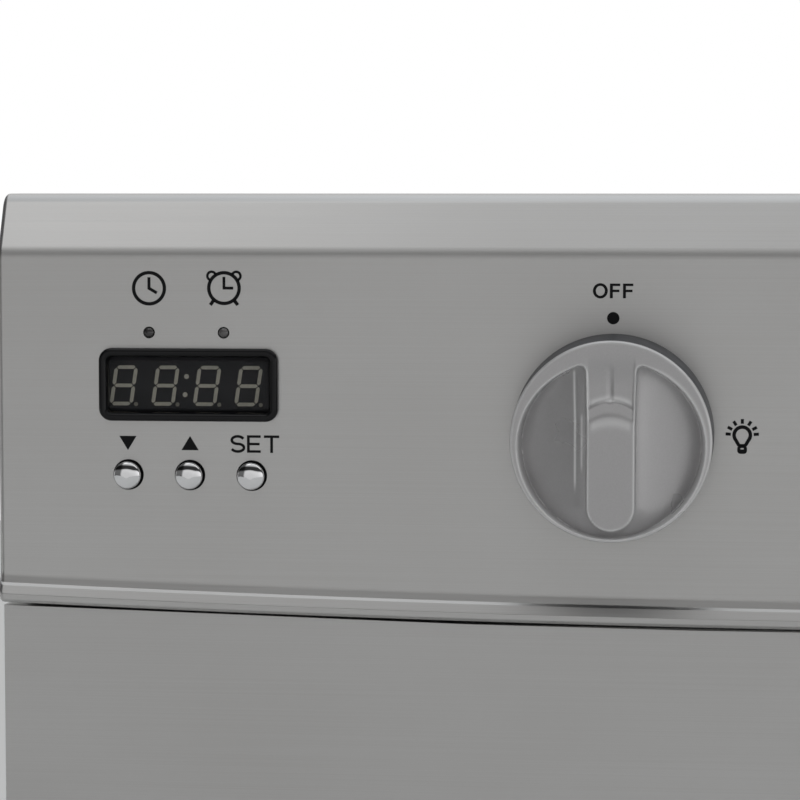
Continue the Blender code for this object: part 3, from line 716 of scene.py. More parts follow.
@dataclass(frozen=True)
class KnobPlastic(MouldedPlastic):
    """Silver moulded plastic with painted highlights along its scoop edges, rim and bar."""

    bright: Colour = (0.90, 0.90, 0.90)

    def build(self) -> Graph:
        """A per-point attribute of painted highlights mixes the base colour towards a brighter one and dulls
        the metal there.
        """
        graph = MouldedPlastic.build(self)
        base = graph.shader.inputs["Base Color"].links[0].from_socket
        highlight_share = graph.node("ShaderNodeAttribute", attribute_name="painted_highlight").outputs["Fac"]
        mixed = graph.node("ShaderNodeMixRGB", highlight_share, base, (*self.bright, 1.0)).outputs[0]
        graph.feed(mixed, "Base Color")
        dulled = graph.node("ShaderNodeMath", highlight_share, -self.metal, self.metal, operation="MULTIPLY_ADD")
        graph.feed(dulled.outputs[0], "Metallic")
        return graph


@dataclass(frozen=True)
class ClearPane(Finish):
    """Glass or clear plastic with faint wipe marks."""

    ior: float = 1.45

    def build(self) -> Graph:
        """Wipe marks are a stretched noise in the roughness."""
        graph = Graph(self.label, self.tone, self.roughness, Transmission_Weight=1.0, IOR=self.ior)
        marks = graph.noise((14.0, 60.0, 45.0), 5.0)
        graph.rough(marks, 0.01, self.roughness * 2.0)
        graph.shade(marks, 0.02)
        return graph


@dataclass(frozen=True)
class TintedPane(Finish):
    """Thin tinted window: a mostly see-through film with a weak gloss."""

    cover: float = 0.16

    def build(self) -> Graph:
        """The film hides a share of what lies behind; faint wipe marks change the gloss."""
        graph = Graph(self.label, self.tone, self.roughness, Alpha=self.cover)
        marks = graph.noise((60.0, 60.0, 200.0), 4.0)
        graph.rough(marks, 0.03, 0.12)
        graph.shade(marks, 0.1)
        return graph


@dataclass(frozen=True)
class CircuitBoard(Finish):
    """Lacquered board with faint copper tracks."""

    def build(self) -> Graph:
        """Tracks are a stepped stretched noise that lightens the lacquer."""
        graph = Graph(self.label, self.tone, self.roughness, Coat_Weight=0.4)
        tracks = graph.noise((500.0, 500.0, 90.0), 1.0)
        graph.shade(tracks, 0.35)
        graph.bump(tracks, 0.00005, 0.5)
        graph.rough(tracks, 0.25, 0.45)
        return graph


@dataclass(frozen=True)
class Ink(Finish):
    """Screen-printed ink with a slightly uneven film."""

    def build(self) -> Graph:
        """A fine noise breaks the film's gloss and tone."""
        graph = Graph(self.label, self.tone, self.roughness, Specular_IOR_Level=0.12)
        film = graph.noise(even(2500.0), 3.0)
        graph.shade(film, 0.15)
        graph.rough(film, self.roughness - 0.1, self.roughness + 0.1)
        return graph


PANEL_STEEL = BrushedSteel("stainless", "brushed_panel_steel", (0.57, 0.567, 0.561), 0.34)
DOOR_STEEL = BrushedSteel("stainless", "brushed_door_steel", (0.56, 0.557, 0.552), 0.36)
HANDLE_STEEL = BrushedSteel("stainless", "brushed_handle_steel", (0.52, 0.515, 0.51), 0.28, grain=Axis.Z)
INNER_STEEL = BrushedSteel("inner_steel", "inner_sheet_steel", (0.55, 0.55, 0.54), 0.34, line=1200.0)
COATED_STEEL = Coating("coated_steel", "grey_powder_coat", (0.16, 0.16, 0.165), 0.42, metal=0.3)
DARK_COAT = Coating("coated_steel", "dark_heater_sheath", (0.05, 0.048, 0.046), 0.5, metal=0.6)
CHROME = PlainMetal("chrome", "button_chrome", (0.82, 0.82, 0.83), 0.06)
WIRE = PlainMetal("chrome", "tray_wire", (0.70, 0.70, 0.70), 0.16)
SHAFT = PlainMetal("chrome", "turned_shaft", (0.62, 0.62, 0.62), 0.25)
MAGNET = PlainMetal("magnet", "nickel_magnet", (0.45, 0.45, 0.46), 0.22)
# Knob face: silver plastic with painted highlights mixed into its base colour along edges, rim and bar.
KNOB_FACE = KnobPlastic("satin_plastic", "silver_knob_face", (0.475, 0.468, 0.472), 0.30, metal=0.6)
# Knob side: a dark body colour, darkened also to serve as painted shade on the knob's side wall.
KNOB_SIDE = MouldedPlastic("satin_plastic", "knob_side", (0.035, 0.037, 0.045), 0.42)
BLACK = MouldedPlastic("black_plastic", "black_gloss_plastic", (0.006, 0.006, 0.007), 0.16, dull=0.25)
MODULE = MouldedPlastic("black_plastic", "digit_block", (0.016, 0.016, 0.019), 0.5, dull=0.2)
WHITE = MouldedPlastic("white_plastic", "white_housing_plastic", (0.62, 0.61, 0.58), 0.45)
GLASS = ClearPane("glass", "clear_glass", (0.93, 0.96, 0.95), 0.03)
BULB = ClearPane("glass", "bulb_glass", (0.96, 0.94, 0.90), 0.08)
SMOKED = TintedPane("smoked", "smoked_window", (0.02, 0.02, 0.022), 0.05)
RUBBER = MouldedPlastic("rubber", "black_rubber", (0.018, 0.018, 0.018), 0.62, grain=1500.0)
BOARD = CircuitBoard("board", "green_board", (0.02, 0.10, 0.045), 0.35)
LENS_DARK = MouldedPlastic("red_lens", "unlit_clock_lens", (0.030, 0.027, 0.028), 0.16, coat=0.6)
LENS_PALE = MouldedPlastic("red_lens", "unlit_alarm_lens", (0.11, 0.105, 0.105), 0.16, coat=0.6)
CERAMIC = Coating("ceramic", "glazed_ceramic", (0.66, 0.63, 0.57), 0.35)
INK = Ink("black_plastic", "black_print", (0.010, 0.010, 0.011), 0.6)
SEGMENT = Ink("white_plastic", "pale_segments", (0.62, 0.60, 0.50), 0.55)
SEGMENT_DIM = Ink("white_plastic", "dim_points", (0.30, 0.29, 0.24), 0.55)


def dress(finish: Finish, *nodes: str) -> None:
    """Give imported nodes, whose shape stays, a finer material."""
    for name in nodes:
        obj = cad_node(name)
        for place in obj.material_slots:
            place.material = finish.material()
        LOG.info("dressed %s", name)


# ---------------------------------------------------------------- sub-assemblies

LAYOUT_START = 1.2  # the printed layout starts this far in from the panel's left end
LEFT, TOP, FRONT = CAD_BOUNDS[0][0] / MM + LAYOUT_START, CAD_BOUNDS[1][2] / MM, -192.0
THROUGH = (-199.0, -187.0)  # range of y of the tools that cut the panel's holes
PRINT = (FRONT - 0.06, FRONT + 0.02)  # range of y of the printed film
BARS = (-190.2, -190.05)  # range of y of the display's round points


def on_panel(u: float, v: float) -> Array:
    """x and z of a place on the panel, u from the start of its layout and v down from its top edge."""
    return np.array([LEFT + u, TOP - v])


@dataclass
class Studio:
    """Pale floor, soft overhead light and the camera."""

    camera_at: Spot = (-60.6, -892.0, 481.5)
    aim_at: Spot = (-130.1, -192.0, 429.8)
    lens: float = 130.1
    lamp_at: Spot = (-560.0, -960.0, 1650.0)
    lamp_aim: Spot = (-60.0, -190.0, 460.0)
    lamp_size: tuple[float, float] = (440.0, 420.0)
    lamp_glow: float = 0.74
    floor_size: float = 3200.0

    def floor(self) -> None:
        """A large plain sheet under the feet, a few millimetres thick."""
        shape = Shape()
        side = 2.0 * self.floor_size
        plate(shape, rounded_rectangle((0.0, 0.0), (side, side), 300.0), -6.0, 0.0, Axis.Z)
        sheet = shape.show("floor", FOLD_ANGLE)
        graph = Graph("pale_floor", (0.78, 0.78, 0.77), 0.75)
        graph.shade(graph.noise(even(3.0)), 0.015)
        sheet.data.materials.append(graph.result)
        sheet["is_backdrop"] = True

    def sky(self) -> None:
        """Soft light all round, with one dark belt in front above eye level and one dark gap at the left.

        The brightness follows the height of the direction and is scaled by its x, so that the
        right is the brighter side. It eases to an even grey behind. The camera sees plain white.
        """
        world = bpy.data.worlds.new("studio")
        world.use_nodes = True
        bpy.context.scene.world = world
        tree = world.node_tree
        tree.nodes.clear()

        def put(kind: str, *inputs: object, **settings: object) -> bpy.types.Node:
            """Add a node to the world, as add_node says."""
            return add_node(tree, kind, inputs, settings)

        way = put("ShaderNodeSeparateXYZ", put("ShaderNodeTexCoord").outputs["Generated"])
        x, y, z = way.outputs
        height = put("ShaderNodeMapRange", z, -1.0, 1.0, 0.0, 1.0).outputs[0]
        front = put("ShaderNodeValToRGB", height)
        self.stops(front.color_ramp, FRONT_SKY)
        back = put("ShaderNodeValToRGB", height)
        self.stops(back.color_ramp, BACK_SKY)
        behind = put("ShaderNodeMapRange", y, -0.1, 0.5, 0.0, 1.0, interpolation_type="SMOOTHSTEP").outputs[0]
        both = put("ShaderNodeMixRGB", behind, front.outputs[0], back.outputs[0]).outputs[0]
        across = put("ShaderNodeValToRGB", put("ShaderNodeMapRange", x, -1.0, 1.0, 0.0, 1.0).outputs[0])
        self.stops(across.color_ramp, SIDE_GAIN)
        lit = put("ShaderNodeBackground", both, across.outputs[0]).outputs[0]
        white = put("ShaderNodeBackground", (1.0, 1.0, 1.0, 1.0), 1.0).outputs[0]
        seen = put("ShaderNodeLightPath").outputs["Is Camera Ray"]
        mixed = put("ShaderNodeMixShader", seen, lit, white).outputs[0]
        put("ShaderNodeOutputWorld", mixed)

    @staticmethod
    def stops(ramp: bpy.types.ColorRamp, stops: Sequence[tuple[float, Colour]]) -> None:
        """Fill a colour ramp; each stop is a direction's height or x, -1 to 1, and its colour."""
        for i, (height, colour) in enumerate(stops):
            place = (height + 1.0) / 2.0
            element = ramp.elements[i] if i < 2 else ramp.elements.new(place)
            element.position = place
            element.color = (*colour, 1.0)

    def lamp(self, name: str, at: Spot, towards: Spot, size: tuple[float, float], glow: float) -> None:
        """A soft panel light; glow is its radiance, so its power is glow * pi * its area."""
        data = bpy.data.lights.new(name, "AREA")
        data.shape = "RECTANGLE"
        data.size, data.size_y = size[0] * MM, size[1] * MM
        data.energy = glow * math.pi * data.size * data.size_y
        lamp = linked(name, data)
        self.aim(lamp, at, towards)
        lamp.visible_camera = False

    def camera(self) -> None:
        """The level camera, without shift or depth of field."""
        data = bpy.data.cameras.new("camera")
        data.lens = self.lens
        data.sensor_width = 36.0
        data.clip_start, data.clip_end = 0.01, 50.0
        camera = linked("camera", data)
        self.aim(camera, self.camera_at, self.aim_at)
        bpy.context.scene.camera = camera

    @staticmethod
    def aim(obj: bpy.types.Object, at: Spot, towards: Spot) -> None:
        """Put a camera or lamp at one place and point it to another, both in millimetres."""
        obj.location = [c * MM for c in at]
        way = Vector([b - a for a, b in zip(at, towards)])
        obj.rotation_euler = way.to_track_quat("-Z", "Y").to_euler()

    def build(self) -> None:
        """Set up floor, lights, world and camera."""
        bpy.context.scene.view_settings.view_transform = "Standard"
        self.floor()
        self.sky()
        self.lamp("soft_box_left", self.lamp_at, self.lamp_aim, self.lamp_size, self.lamp_glow)
        self.camera()


def grey(value: float, blue: float = 0.0) -> Colour:
    """A grey with a little more or less blue."""
    return (value * (1.0 - blue), value, value * (1.0 + blue))


# Brightness of the world in front by height, its gain by x, and its brightness behind by height.
FRONT_SKY = ((-1.0, grey(0.45)), (-0.12, grey(0.60)), (0.12, grey(0.70)), (0.20, grey(0.60)),
             (0.26, grey(0.03)), (0.50, grey(0.03)), (0.62, grey(0.60)), (0.86, grey(0.70)),
             (1.0, grey(0.90, 0.04)))
SIDE_GAIN = ((-1.0, grey(1.2)), (-0.94, grey(0.2)), (-0.5, grey(0.2)), (-0.38, grey(1.0)), (-0.1, grey(1.04)),
             (0.3, grey(1.1)), (0.6, grey(1.35)), (1.0, grey(1.9)))
BACK_SKY = ((-1.0, grey(0.4)), (-0.1, grey(0.5)), (0.15, grey(0.6)), (0.55, grey(0.75)),
            (1.0, grey(1.05, 0.04)))


@dataclass
class ControlPanel:
    """Folded steel panel: top band, slanted strip, flat face and an arched lip below."""

    half: float = 230.0
    sheet: float = 1.2
    rear: float = -164.8
    band_radius: float = 4.5
    end_radius: float = 1.3
    sag: float = 4.2
    knob_u: tuple[float, float] = (150.6, 307.0)
    knob_v: float = 58.1
    button_u: tuple[float, ...] = (31.4, 46.75, 62.1)
    button_v: float = 69.1
    lens_u: tuple[float, float] = (36.75, 55.25)
    lens_v: float = 34.0
    bezel_at: tuple[float, float] = (46.55, 46.8)
    button_hole: float = 3.8
    lens_hole: float = 1.45
    shaft_hole: float = 4.5
    bezel_hole: tuple[float, float] = (41.4, 14.9)

    def lip_level(self, x: float) -> float:
        """Level from which the lip's heights at x are counted down."""
        return TOP - self.sag * (1.0 - (x / self.half) ** 2)

    def outline(self, x: float) -> Array:
        """Closed (y, z) section at x; the lip hangs lower towards the middle by a parabola."""
        low = self.lip_level(x)
        corners = [
            (self.rear, 471.0, 0.0), (self.rear, TOP, 1.2), (-184.4, TOP, self.band_radius),
            (FRONT, 465.65, 7.0), (FRONT, low - 94.2, 5.0), (-192.45, low - 96.2, 0.6),
            (-193.0, low - 96.8, 0.4), (-194.0, low - 98.9, 0.8), (-193.9, low - 100.2, 0.4),
            (-193.2, low - 101.0, 0.5), (-177.5, low - 101.0, 0.5), (-177.5, low - 99.7, 0.0),
            (self.rear, low - 99.7, 0.0)]
        return filleted(corners, 6)

    def loft(self, stations: Array, shrinks: Array) -> Array:
        """Sections at each station, drawn towards the rear middle so that the ends are rounded.

        Args:
            stations: x of each section.
            shrinks: how far the front, the top and the bottom of each section are drawn in.

        Returns:
            Points of shape (stations, points, 3).
        """
        flat = np.stack([self.outline(x) for x in stations])
        deep, tall, middle = self.rear - FRONT, 50.0, TOP - 50.0
        share = shrinks[:, None]
        flat[..., 0] = self.rear + (flat[..., 0] - self.rear) * (1.0 - share / deep)
        flat[..., 1] = middle + (flat[..., 1] - middle) * (1.0 - share / tall)
        return placed(flat, stations[:, None], Axis.X)

    def hollow(self, x: float) -> Array:
        """Closed (y, z) section of the space behind the sheet at x, open to the rear."""
        low = self.lip_level(x)
        front, back = FRONT + self.sheet, self.rear + 6.0
        corners = [(back, TOP - self.sheet, 0.0), (-183.6, TOP - self.sheet, 3.3), (front, 465.4, 5.8),
                   (front, low - 99.8, 0.0), (-177.5, low - 99.8, 0.0), (-177.5, low - 103.0, 0.0),
                   (back, low - 103.0, 0.0)]
        return filleted(corners, 6)

    def build(self) -> None:
        """Make the panel as a thin sheet with rounded ends and every hole cut."""
        turn = np.linspace(0.0, math.pi / 2.0, 7)
        edge = self.end_radius * (1.0 - np.cos(turn))
        shrink = self.end_radius * (1.0 - np.sin(turn))
        middle = np.linspace(-self.half + self.end_radius, self.half - self.end_radius, 41)
        stations = np.concatenate([-self.half + edge, middle[1:-1], self.half - edge[::-1]])
        shrinks = np.concatenate([shrink, np.zeros(39), shrink[::-1]])
        body = Shape().net(self.loft(stations, shrinks), caps=True)
        panel = body.piece("panel_sheet", PANEL_STEEL, "cabinet", ("control_panel",), sharp=30.0)
        inside = np.linspace(-self.half + self.sheet, self.half - self.sheet, 33)
        space = placed(np.stack([self.hollow(x) for x in inside]), inside[:, None], Axis.X)
        carved(panel, Shape().net(space, caps=True))
        holes = Shape()
        for row, v, radius, count in ((self.button_u, self.button_v, self.button_hole, 40),
                                      (self.lens_u, self.lens_v, self.lens_hole, 24),
                                      (self.knob_u, self.knob_v, self.shaft_hole, 32)):
            for u in row:
                plate(holes, circle(on_panel(u, v), radius, count), *THROUGH, Axis.Y)
        plate(holes, rounded_rectangle(on_panel(*self.bezel_at), self.bezel_hole, 1.6), *THROUGH, Axis.Y)
        carved(panel, holes)
        weigh_normals(panel)


def weigh_normals(obj: bpy.types.Object) -> None:
    """Let the large faces rule the shading, so flat sheet stays flat beside its bends."""
    mod = obj.modifiers.new("weigh", "WEIGHTED_NORMAL")
    mod.mode = "FACE_AREA"
    mod.weight = 100
    mod.keep_sharp = True
    bake_modifiers(obj)


@dataclass
class Markings:
    """Symbols and plain words printed on the panel in black."""

    line: float = 0.84

    def flat(self, shape: Shape, outline: Array) -> None:
        """A thin raised patch with the given outline."""
        plate(shape, outline, *PRINT, Axis.Y)

    def band(self, shape: Shape, outer: Array, inner: Array) -> None:
        """A thin raised band between two outlines of the same point count."""
        ring_plate(shape, outer, inner, *PRINT, Axis.Y)

    def ring(self, shape: Shape, centre: Array, outer: float) -> None:
        """A thin raised round line."""
        self.band(shape, circle(centre, outer, 64), circle(centre, outer - self.line, 64))

    def stroke(self, shape: Shape, path: Array, width: float) -> None:
        """A thin raised line of even width along a path."""
        half = width / 2.0
        self.flat(shape, np.concatenate([offset_line(path, -half), offset_line(path, half)[::-1]]))

    def done(self, shape: Shape, name: str) -> None:
        """Finish one symbol."""
        shape.piece(name, INK, "cabinet")

    def clock(self) -> None:
        """Round clock face with two hands."""
        at = on_panel(36.8, 23.15)
        shape = Shape()
        self.ring(shape, at, 4.25)
        self.stroke(shape, at + np.array([(0.0, 2.7), (0.0, 0.0), (1.95, -1.15)]), 0.75)
        self.done(shape, "mark_clock")

    def alarm(self) -> None:
        """Round alarm clock with two bells, two feet and its hands."""
        at = on_panel(55.4, 23.05)
        shape = Shape()
        self.ring(shape, at, 4.18)
        self.stroke(shape, at + np.array([(0.0, 2.75), (0.0, 0.0), (2.3, 0.0)]), 0.7)
        for side in (-1.0, 1.0):
            turn = np.linspace(-2.05, 2.05, 20)
            middle = np.array([side * 3.05, 2.95])
            away = math.atan2(2.95, side * 3.05)
            arc = middle + 1.05 * unit(turn + away)
            self.stroke(shape, at + arc, 0.62)
            self.stroke(shape, at + np.array([(side * 2.55, -3.0), (side * 3.4, -4.15)]), 0.85)
        self.done(shape, "mark_alarm")

    def arrows(self) -> None:
        """Solid triangles over the two adjusting buttons."""
        for name, u, v, up in (("mark_down", 31.3, 61.3, -1.0), ("mark_up", 46.8, 61.2, 1.0)):
            shape = Shape()
            outline = np.array([(-2.15, -1.75 * up), (2.15, -1.75 * up), (0.0, 1.75 * up)])
            self.flat(shape, on_panel(u, v) + outline)
            self.done(shape, name)

    @staticmethod
    def e_or_f(left: float, tall: float, wide: float, stem: float, bar: float, foot: bool) -> Array:
        """Outline of a plain capital E, or F without the foot bar."""
        h = tall / 2.0
        points = [(0.0, -h), (stem, -h)]
        if foot:
            points = [(0.0, -h), (wide, -h), (wide, -h + bar), (stem, -h + bar)]
        points += [(stem, -bar / 2.0), (wide * 0.92, -bar / 2.0), (wide * 0.92, bar / 2.0), (stem, bar / 2.0),
                   (stem, h - bar), (wide, h - bar), (wide, h), (0.0, h)]
        return np.array(points) + np.array([left, 0.0])

    def off(self) -> None:
        """The word OFF and the dot under it."""
        at = on_panel(150.5, 23.4)
        shape = Shape()
        turn = np.arange(48) * 2.0 * math.pi / 48
        way = unit(turn)
        centre = at + np.array([-3.15, 0.0])
        self.band(shape, centre + way * (1.8, 1.85), centre + way * (1.08, 1.2))
        for left in (-0.85, 2.3):
            self.flat(shape, at + self.e_or_f(left, 3.55, 2.5, 0.72, 0.6, False))
        self.done(shape, "mark_off")
        dot = Shape()
        self.flat(dot, circle(on_panel(150.5, 30.0), 1.5, 40))
        self.done(dot, "mark_off_dot")

    def set_word(self) -> None:
        """The word SET over the third button."""
        at = on_panel(62.9, 61.3)
        shape = Shape()
        upper = np.linspace(math.radians(20.0), math.radians(270.0), 16)
        lower = np.linspace(math.radians(90.0), math.radians(-160.0), 16)
        tall = 4.3
        a = np.stack([1.48 * np.cos(upper), 0.93 * np.sin(upper) + 0.93], axis=-1)
        b = np.stack([1.55 * np.cos(lower), 0.95 * np.sin(lower) - 0.93], axis=-1)
        self.stroke(shape, at + np.array([-4.25, 0.0]) + np.concatenate([a, b[1:]]), 0.66)
        self.flat(shape, at + self.e_or_f(-1.95, tall, 3.4, 0.68, 0.62, True))
        h = tall / 2.0
        cross = np.array([(-0.34, -h), (0.34, -h), (0.34, h - 0.62), (1.9, h - 0.62), (1.9, h), (-1.9, h),
                          (-1.9, h - 0.62), (-0.34, h - 0.62)])
        self.flat(shape, at + np.array([4.15, 0.0]) + cross)
        self.done(shape, "mark_set")

    def bulb(self) -> None:
        """Light bulb with seven rays, at the knob's lamp position."""
        at = on_panel(181.7, 58.1)
        shape = Shape()
        turn = np.linspace(math.radians(-38.0), math.radians(218.0), 41)
        head = 2.38 * unit(turn)
        outer = np.concatenate([head, [(-1.15, -2.7), (1.15, -2.7)]])
        inner_head = 1.52 * unit(turn)
        inner = np.concatenate([inner_head, [(-0.5, -2.15), (0.5, -2.15)]])
        self.band(shape, at + outer, at + inner)
        base = rounded_rectangle((0.0, -3.5), (2.35, 2.1), 0.8)
        hole = rounded_rectangle((0.0, -3.3), (0.8, 0.35), 0.15)
        self.band(shape, at + base, at + hole)
        rays = ((4, 4.0), (176, 4.0), (29, 4.0), (151, 4.0), (58, 3.95), (122, 3.95), (90, 3.9))
        for degrees, reach in rays:
            angle = math.radians(degrees)
            way = np.array([math.cos(angle), math.sin(angle)])
            self.stroke(shape, at + np.array([way * 2.75, way * reach]), 0.74)
        self.done(shape, "mark_lamp")

    def heat_scale(self) -> None:
        """Graduation round the thermostat knob: a dot at rest, ticks and a growing wedge."""
        at = on_panel(ControlPanel.knob_u[1], ControlPanel.knob_v)
        shape = Shape()
        self.flat(shape, circle(at + np.array([0.0, 27.7]), 1.5, 40))
        for step in range(1, 7):
            angle = math.radians(90.0 - 45.0 * step)
            way = np.array([math.cos(angle), math.sin(angle)])
            self.stroke(shape, at + np.array([way * 26.6, way * 29.0]), 0.7)
        turn = np.radians(np.linspace(60.0, -180.0, 60))
        way = unit(turn)
        thick = np.linspace(0.25, 1.8, 60)[:, None]
        self.flat(shape, np.concatenate([at + way * 30.4, (at + way * (30.4 + thick))[::-1]]))
        self.done(shape, "mark_heat_scale")

    def build(self) -> None:
        """Print everything."""
        self.clock()
        self.alarm()
        self.arrows()
        self.off()
        self.set_word()
        self.bulb()
        self.heat_scale()


@dataclass
class ClockDisplay:
    """Raised gloss bezel, smoked window and a block of four unlit digits."""

    size: tuple[float, float] = (44.4, 17.9)
    window: tuple[float, float] = (40.0, 12.2)
    digit_u: tuple[float, ...] = (30.0, 40.4, 50.8, 61.1)
    digit_v: float = 47.2
    tall: float = 9.9
    wide: float = 5.8
    stroke: float = 0.88
    lean: float = math.radians(8.5)

    def bezel(self) -> None:
        """A rounded frame whose inner edge falls towards the window."""
        centre = on_panel(*ControlPanel.bezel_at)
        shape = Shape()
        steps = [(0.0, -192.3), (0.0, -193.2), (0.18, -193.6), (0.6, -193.8), (1.3, -193.8), (1.7, -193.65),
                 (1.95, -193.2), (2.2, -192.6), (2.25, -190.5), (1.65, -190.5), (1.62, -192.28)]
        rings = []
        for inset, y in steps:
            size = np.array(self.size) - 2.0 * inset
            rings.append(placed(rounded_rectangle(centre, size, max(3.1 - inset * 0.95, 0.75)), y, Axis.Y))
        shape.net(np.stack(rings), close_rows=True)
        shape.piece("display_bezel_frame", BLACK, "cabinet", ("display_bezel",), sharp=50.0)
        window = rounded_rectangle(centre, np.array(self.window) - 0.25, 0.7)
        pane = plate(Shape(), window, -193.1, -191.9, Axis.Y, 0.15)
        pane.piece("display_pane", SMOKED, "cabinet", ("display_window",))
        plate(Shape(), rounded_rectangle(centre, (40.2, 13.6), 0.6), -190.1, -183.0, Axis.Y, 0.3).piece(
            "digit_block", MODULE, "cabinet", ("display_module",))

    def segment(self, shape: Shape, centre: Array, along: Array, length: float) -> None:
        """One bar with pointed ends."""
        across = np.array([-along[1], along[0]])
        half, tip = self.stroke / 2.0, length / 2.0
        points = [(-tip, 0.0), (-tip + half, -half), (tip - half, -half), (tip, 0.0), (tip - half, half),
                  (-tip + half, half)]
        spots = np.array([centre + a * along + b * across for a, b in points])
        spots[:, 0] += (spots[:, 1] - (TOP - self.digit_v)) * math.tan(self.lean)
        plate(shape, spots, -190.25, -190.05, Axis.Y)

    def digits(self) -> None:
        """Four digits of seven bars each, the colon and the decimal points."""
        shape, dim = Shape(), Shape()
        w, h = (self.wide - self.stroke) / 2.0, (self.tall - self.stroke) / 2.0
        right, up = np.array([1.0, 0.0]), np.array([0.0, 1.0])
        gap = 0.34
        for u in self.digit_u:
            at = on_panel(u, self.digit_v)
            for level in (-h, 0.0, h):
                self.segment(shape, at + up * level, right, 2.0 * w - gap)
            for side in (-w, w):
                for level in (-h / 2.0, h / 2.0):
                    self.segment(shape, at + right * side + up * level, up, h - gap)
            plate(dim, circle(at + np.array([w + 0.55, -h - 0.1]), 0.5, 20), *BARS, Axis.Y)
        for u, v in ((46.3, 44.9), (45.9, 49.4)):
            plate(shape, circle(on_panel(u - 0.6, v), 0.6, 20), *BARS, Axis.Y)
        shape.piece("digit_bars", SEGMENT, "cabinet")
        dim.piece("digit_points", SEGMENT_DIM, "cabinet")

    def build(self) -> None:
        """Make the display."""
        self.bezel()
        self.digits()


@dataclass
class PushButtons:
    """Three chromed push buttons and two small unlit lights."""

    radius: float = 3.35
    soft: float = 0.7
    flat: float = 0.7
    dome_turn: float = math.radians(24.0)

    def build(self) -> None:
        """Turn each button: a small flat, a shallow dome, then a tight round into the side."""
        turn = np.linspace(0.0, math.pi / 2.0, 9)
        r, s, y = self.radius, self.soft, -195.0
        dome = np.linspace(0.0, self.dome_turn, 8)
        big = (r - s * (1.0 - math.sin(self.dome_turn)) - self.flat) / math.sin(self.dome_turn)
        front = [(0.0, y)] + [(self.flat + big * math.sin(t), y + big * (1.0 - math.cos(t))) for t in dome]
        start = front[-1][1] + s * math.cos(self.dome_turn)
        steep = np.linspace(self.dome_turn, math.pi / 2.0, 9)[1:]
        edge = [(r - s + s * math.sin(t), start - s * math.cos(t)) for t in steep]
        profile = np.array(front + edge + [(r, -192.3), (r - 0.1, -192.1), (0.0, -192.1)])
        stem = np.array([(0.0, -192.05), (3.2, -192.05), (3.2, -190.5), (4.6, -190.5), (4.6, -189.4),
                         (2.0, -189.4), (2.0, -186.8), (0.0, -186.8)])
        for name, u in zip(("button_down", "button_up", "button_set"), ControlPanel.button_u):
            shape = lathe(Shape(), profile, on_panel(u, ControlPanel.button_v), Axis.Y, 56)
            shape.piece(name + "_cap", CHROME, name, (name,), sharp=50.0)
            lower = lathe(Shape(), stem, on_panel(u, ControlPanel.button_v), Axis.Y, 40)
            lower.piece(name + "_stem", MODULE, name, sharp=40.0)
        lights = (("clock_light", LENS_DARK), ("alarm_light", LENS_PALE))
        for (name, finish), u in zip(lights, ControlPanel.lens_u):
            dome = [(1.2 * math.sin(t), -192.0 - 0.7 * math.cos(t)) for t in turn]
            lens = np.array(dome + [(1.2, -183.2), (0.0, -183.2)])
            shape = lathe(Shape(), lens, on_panel(u, ControlPanel.lens_v), Axis.Y, 32)
            shape.piece(name + "_lens", finish, "cabinet", (name,), sharp=50.0)


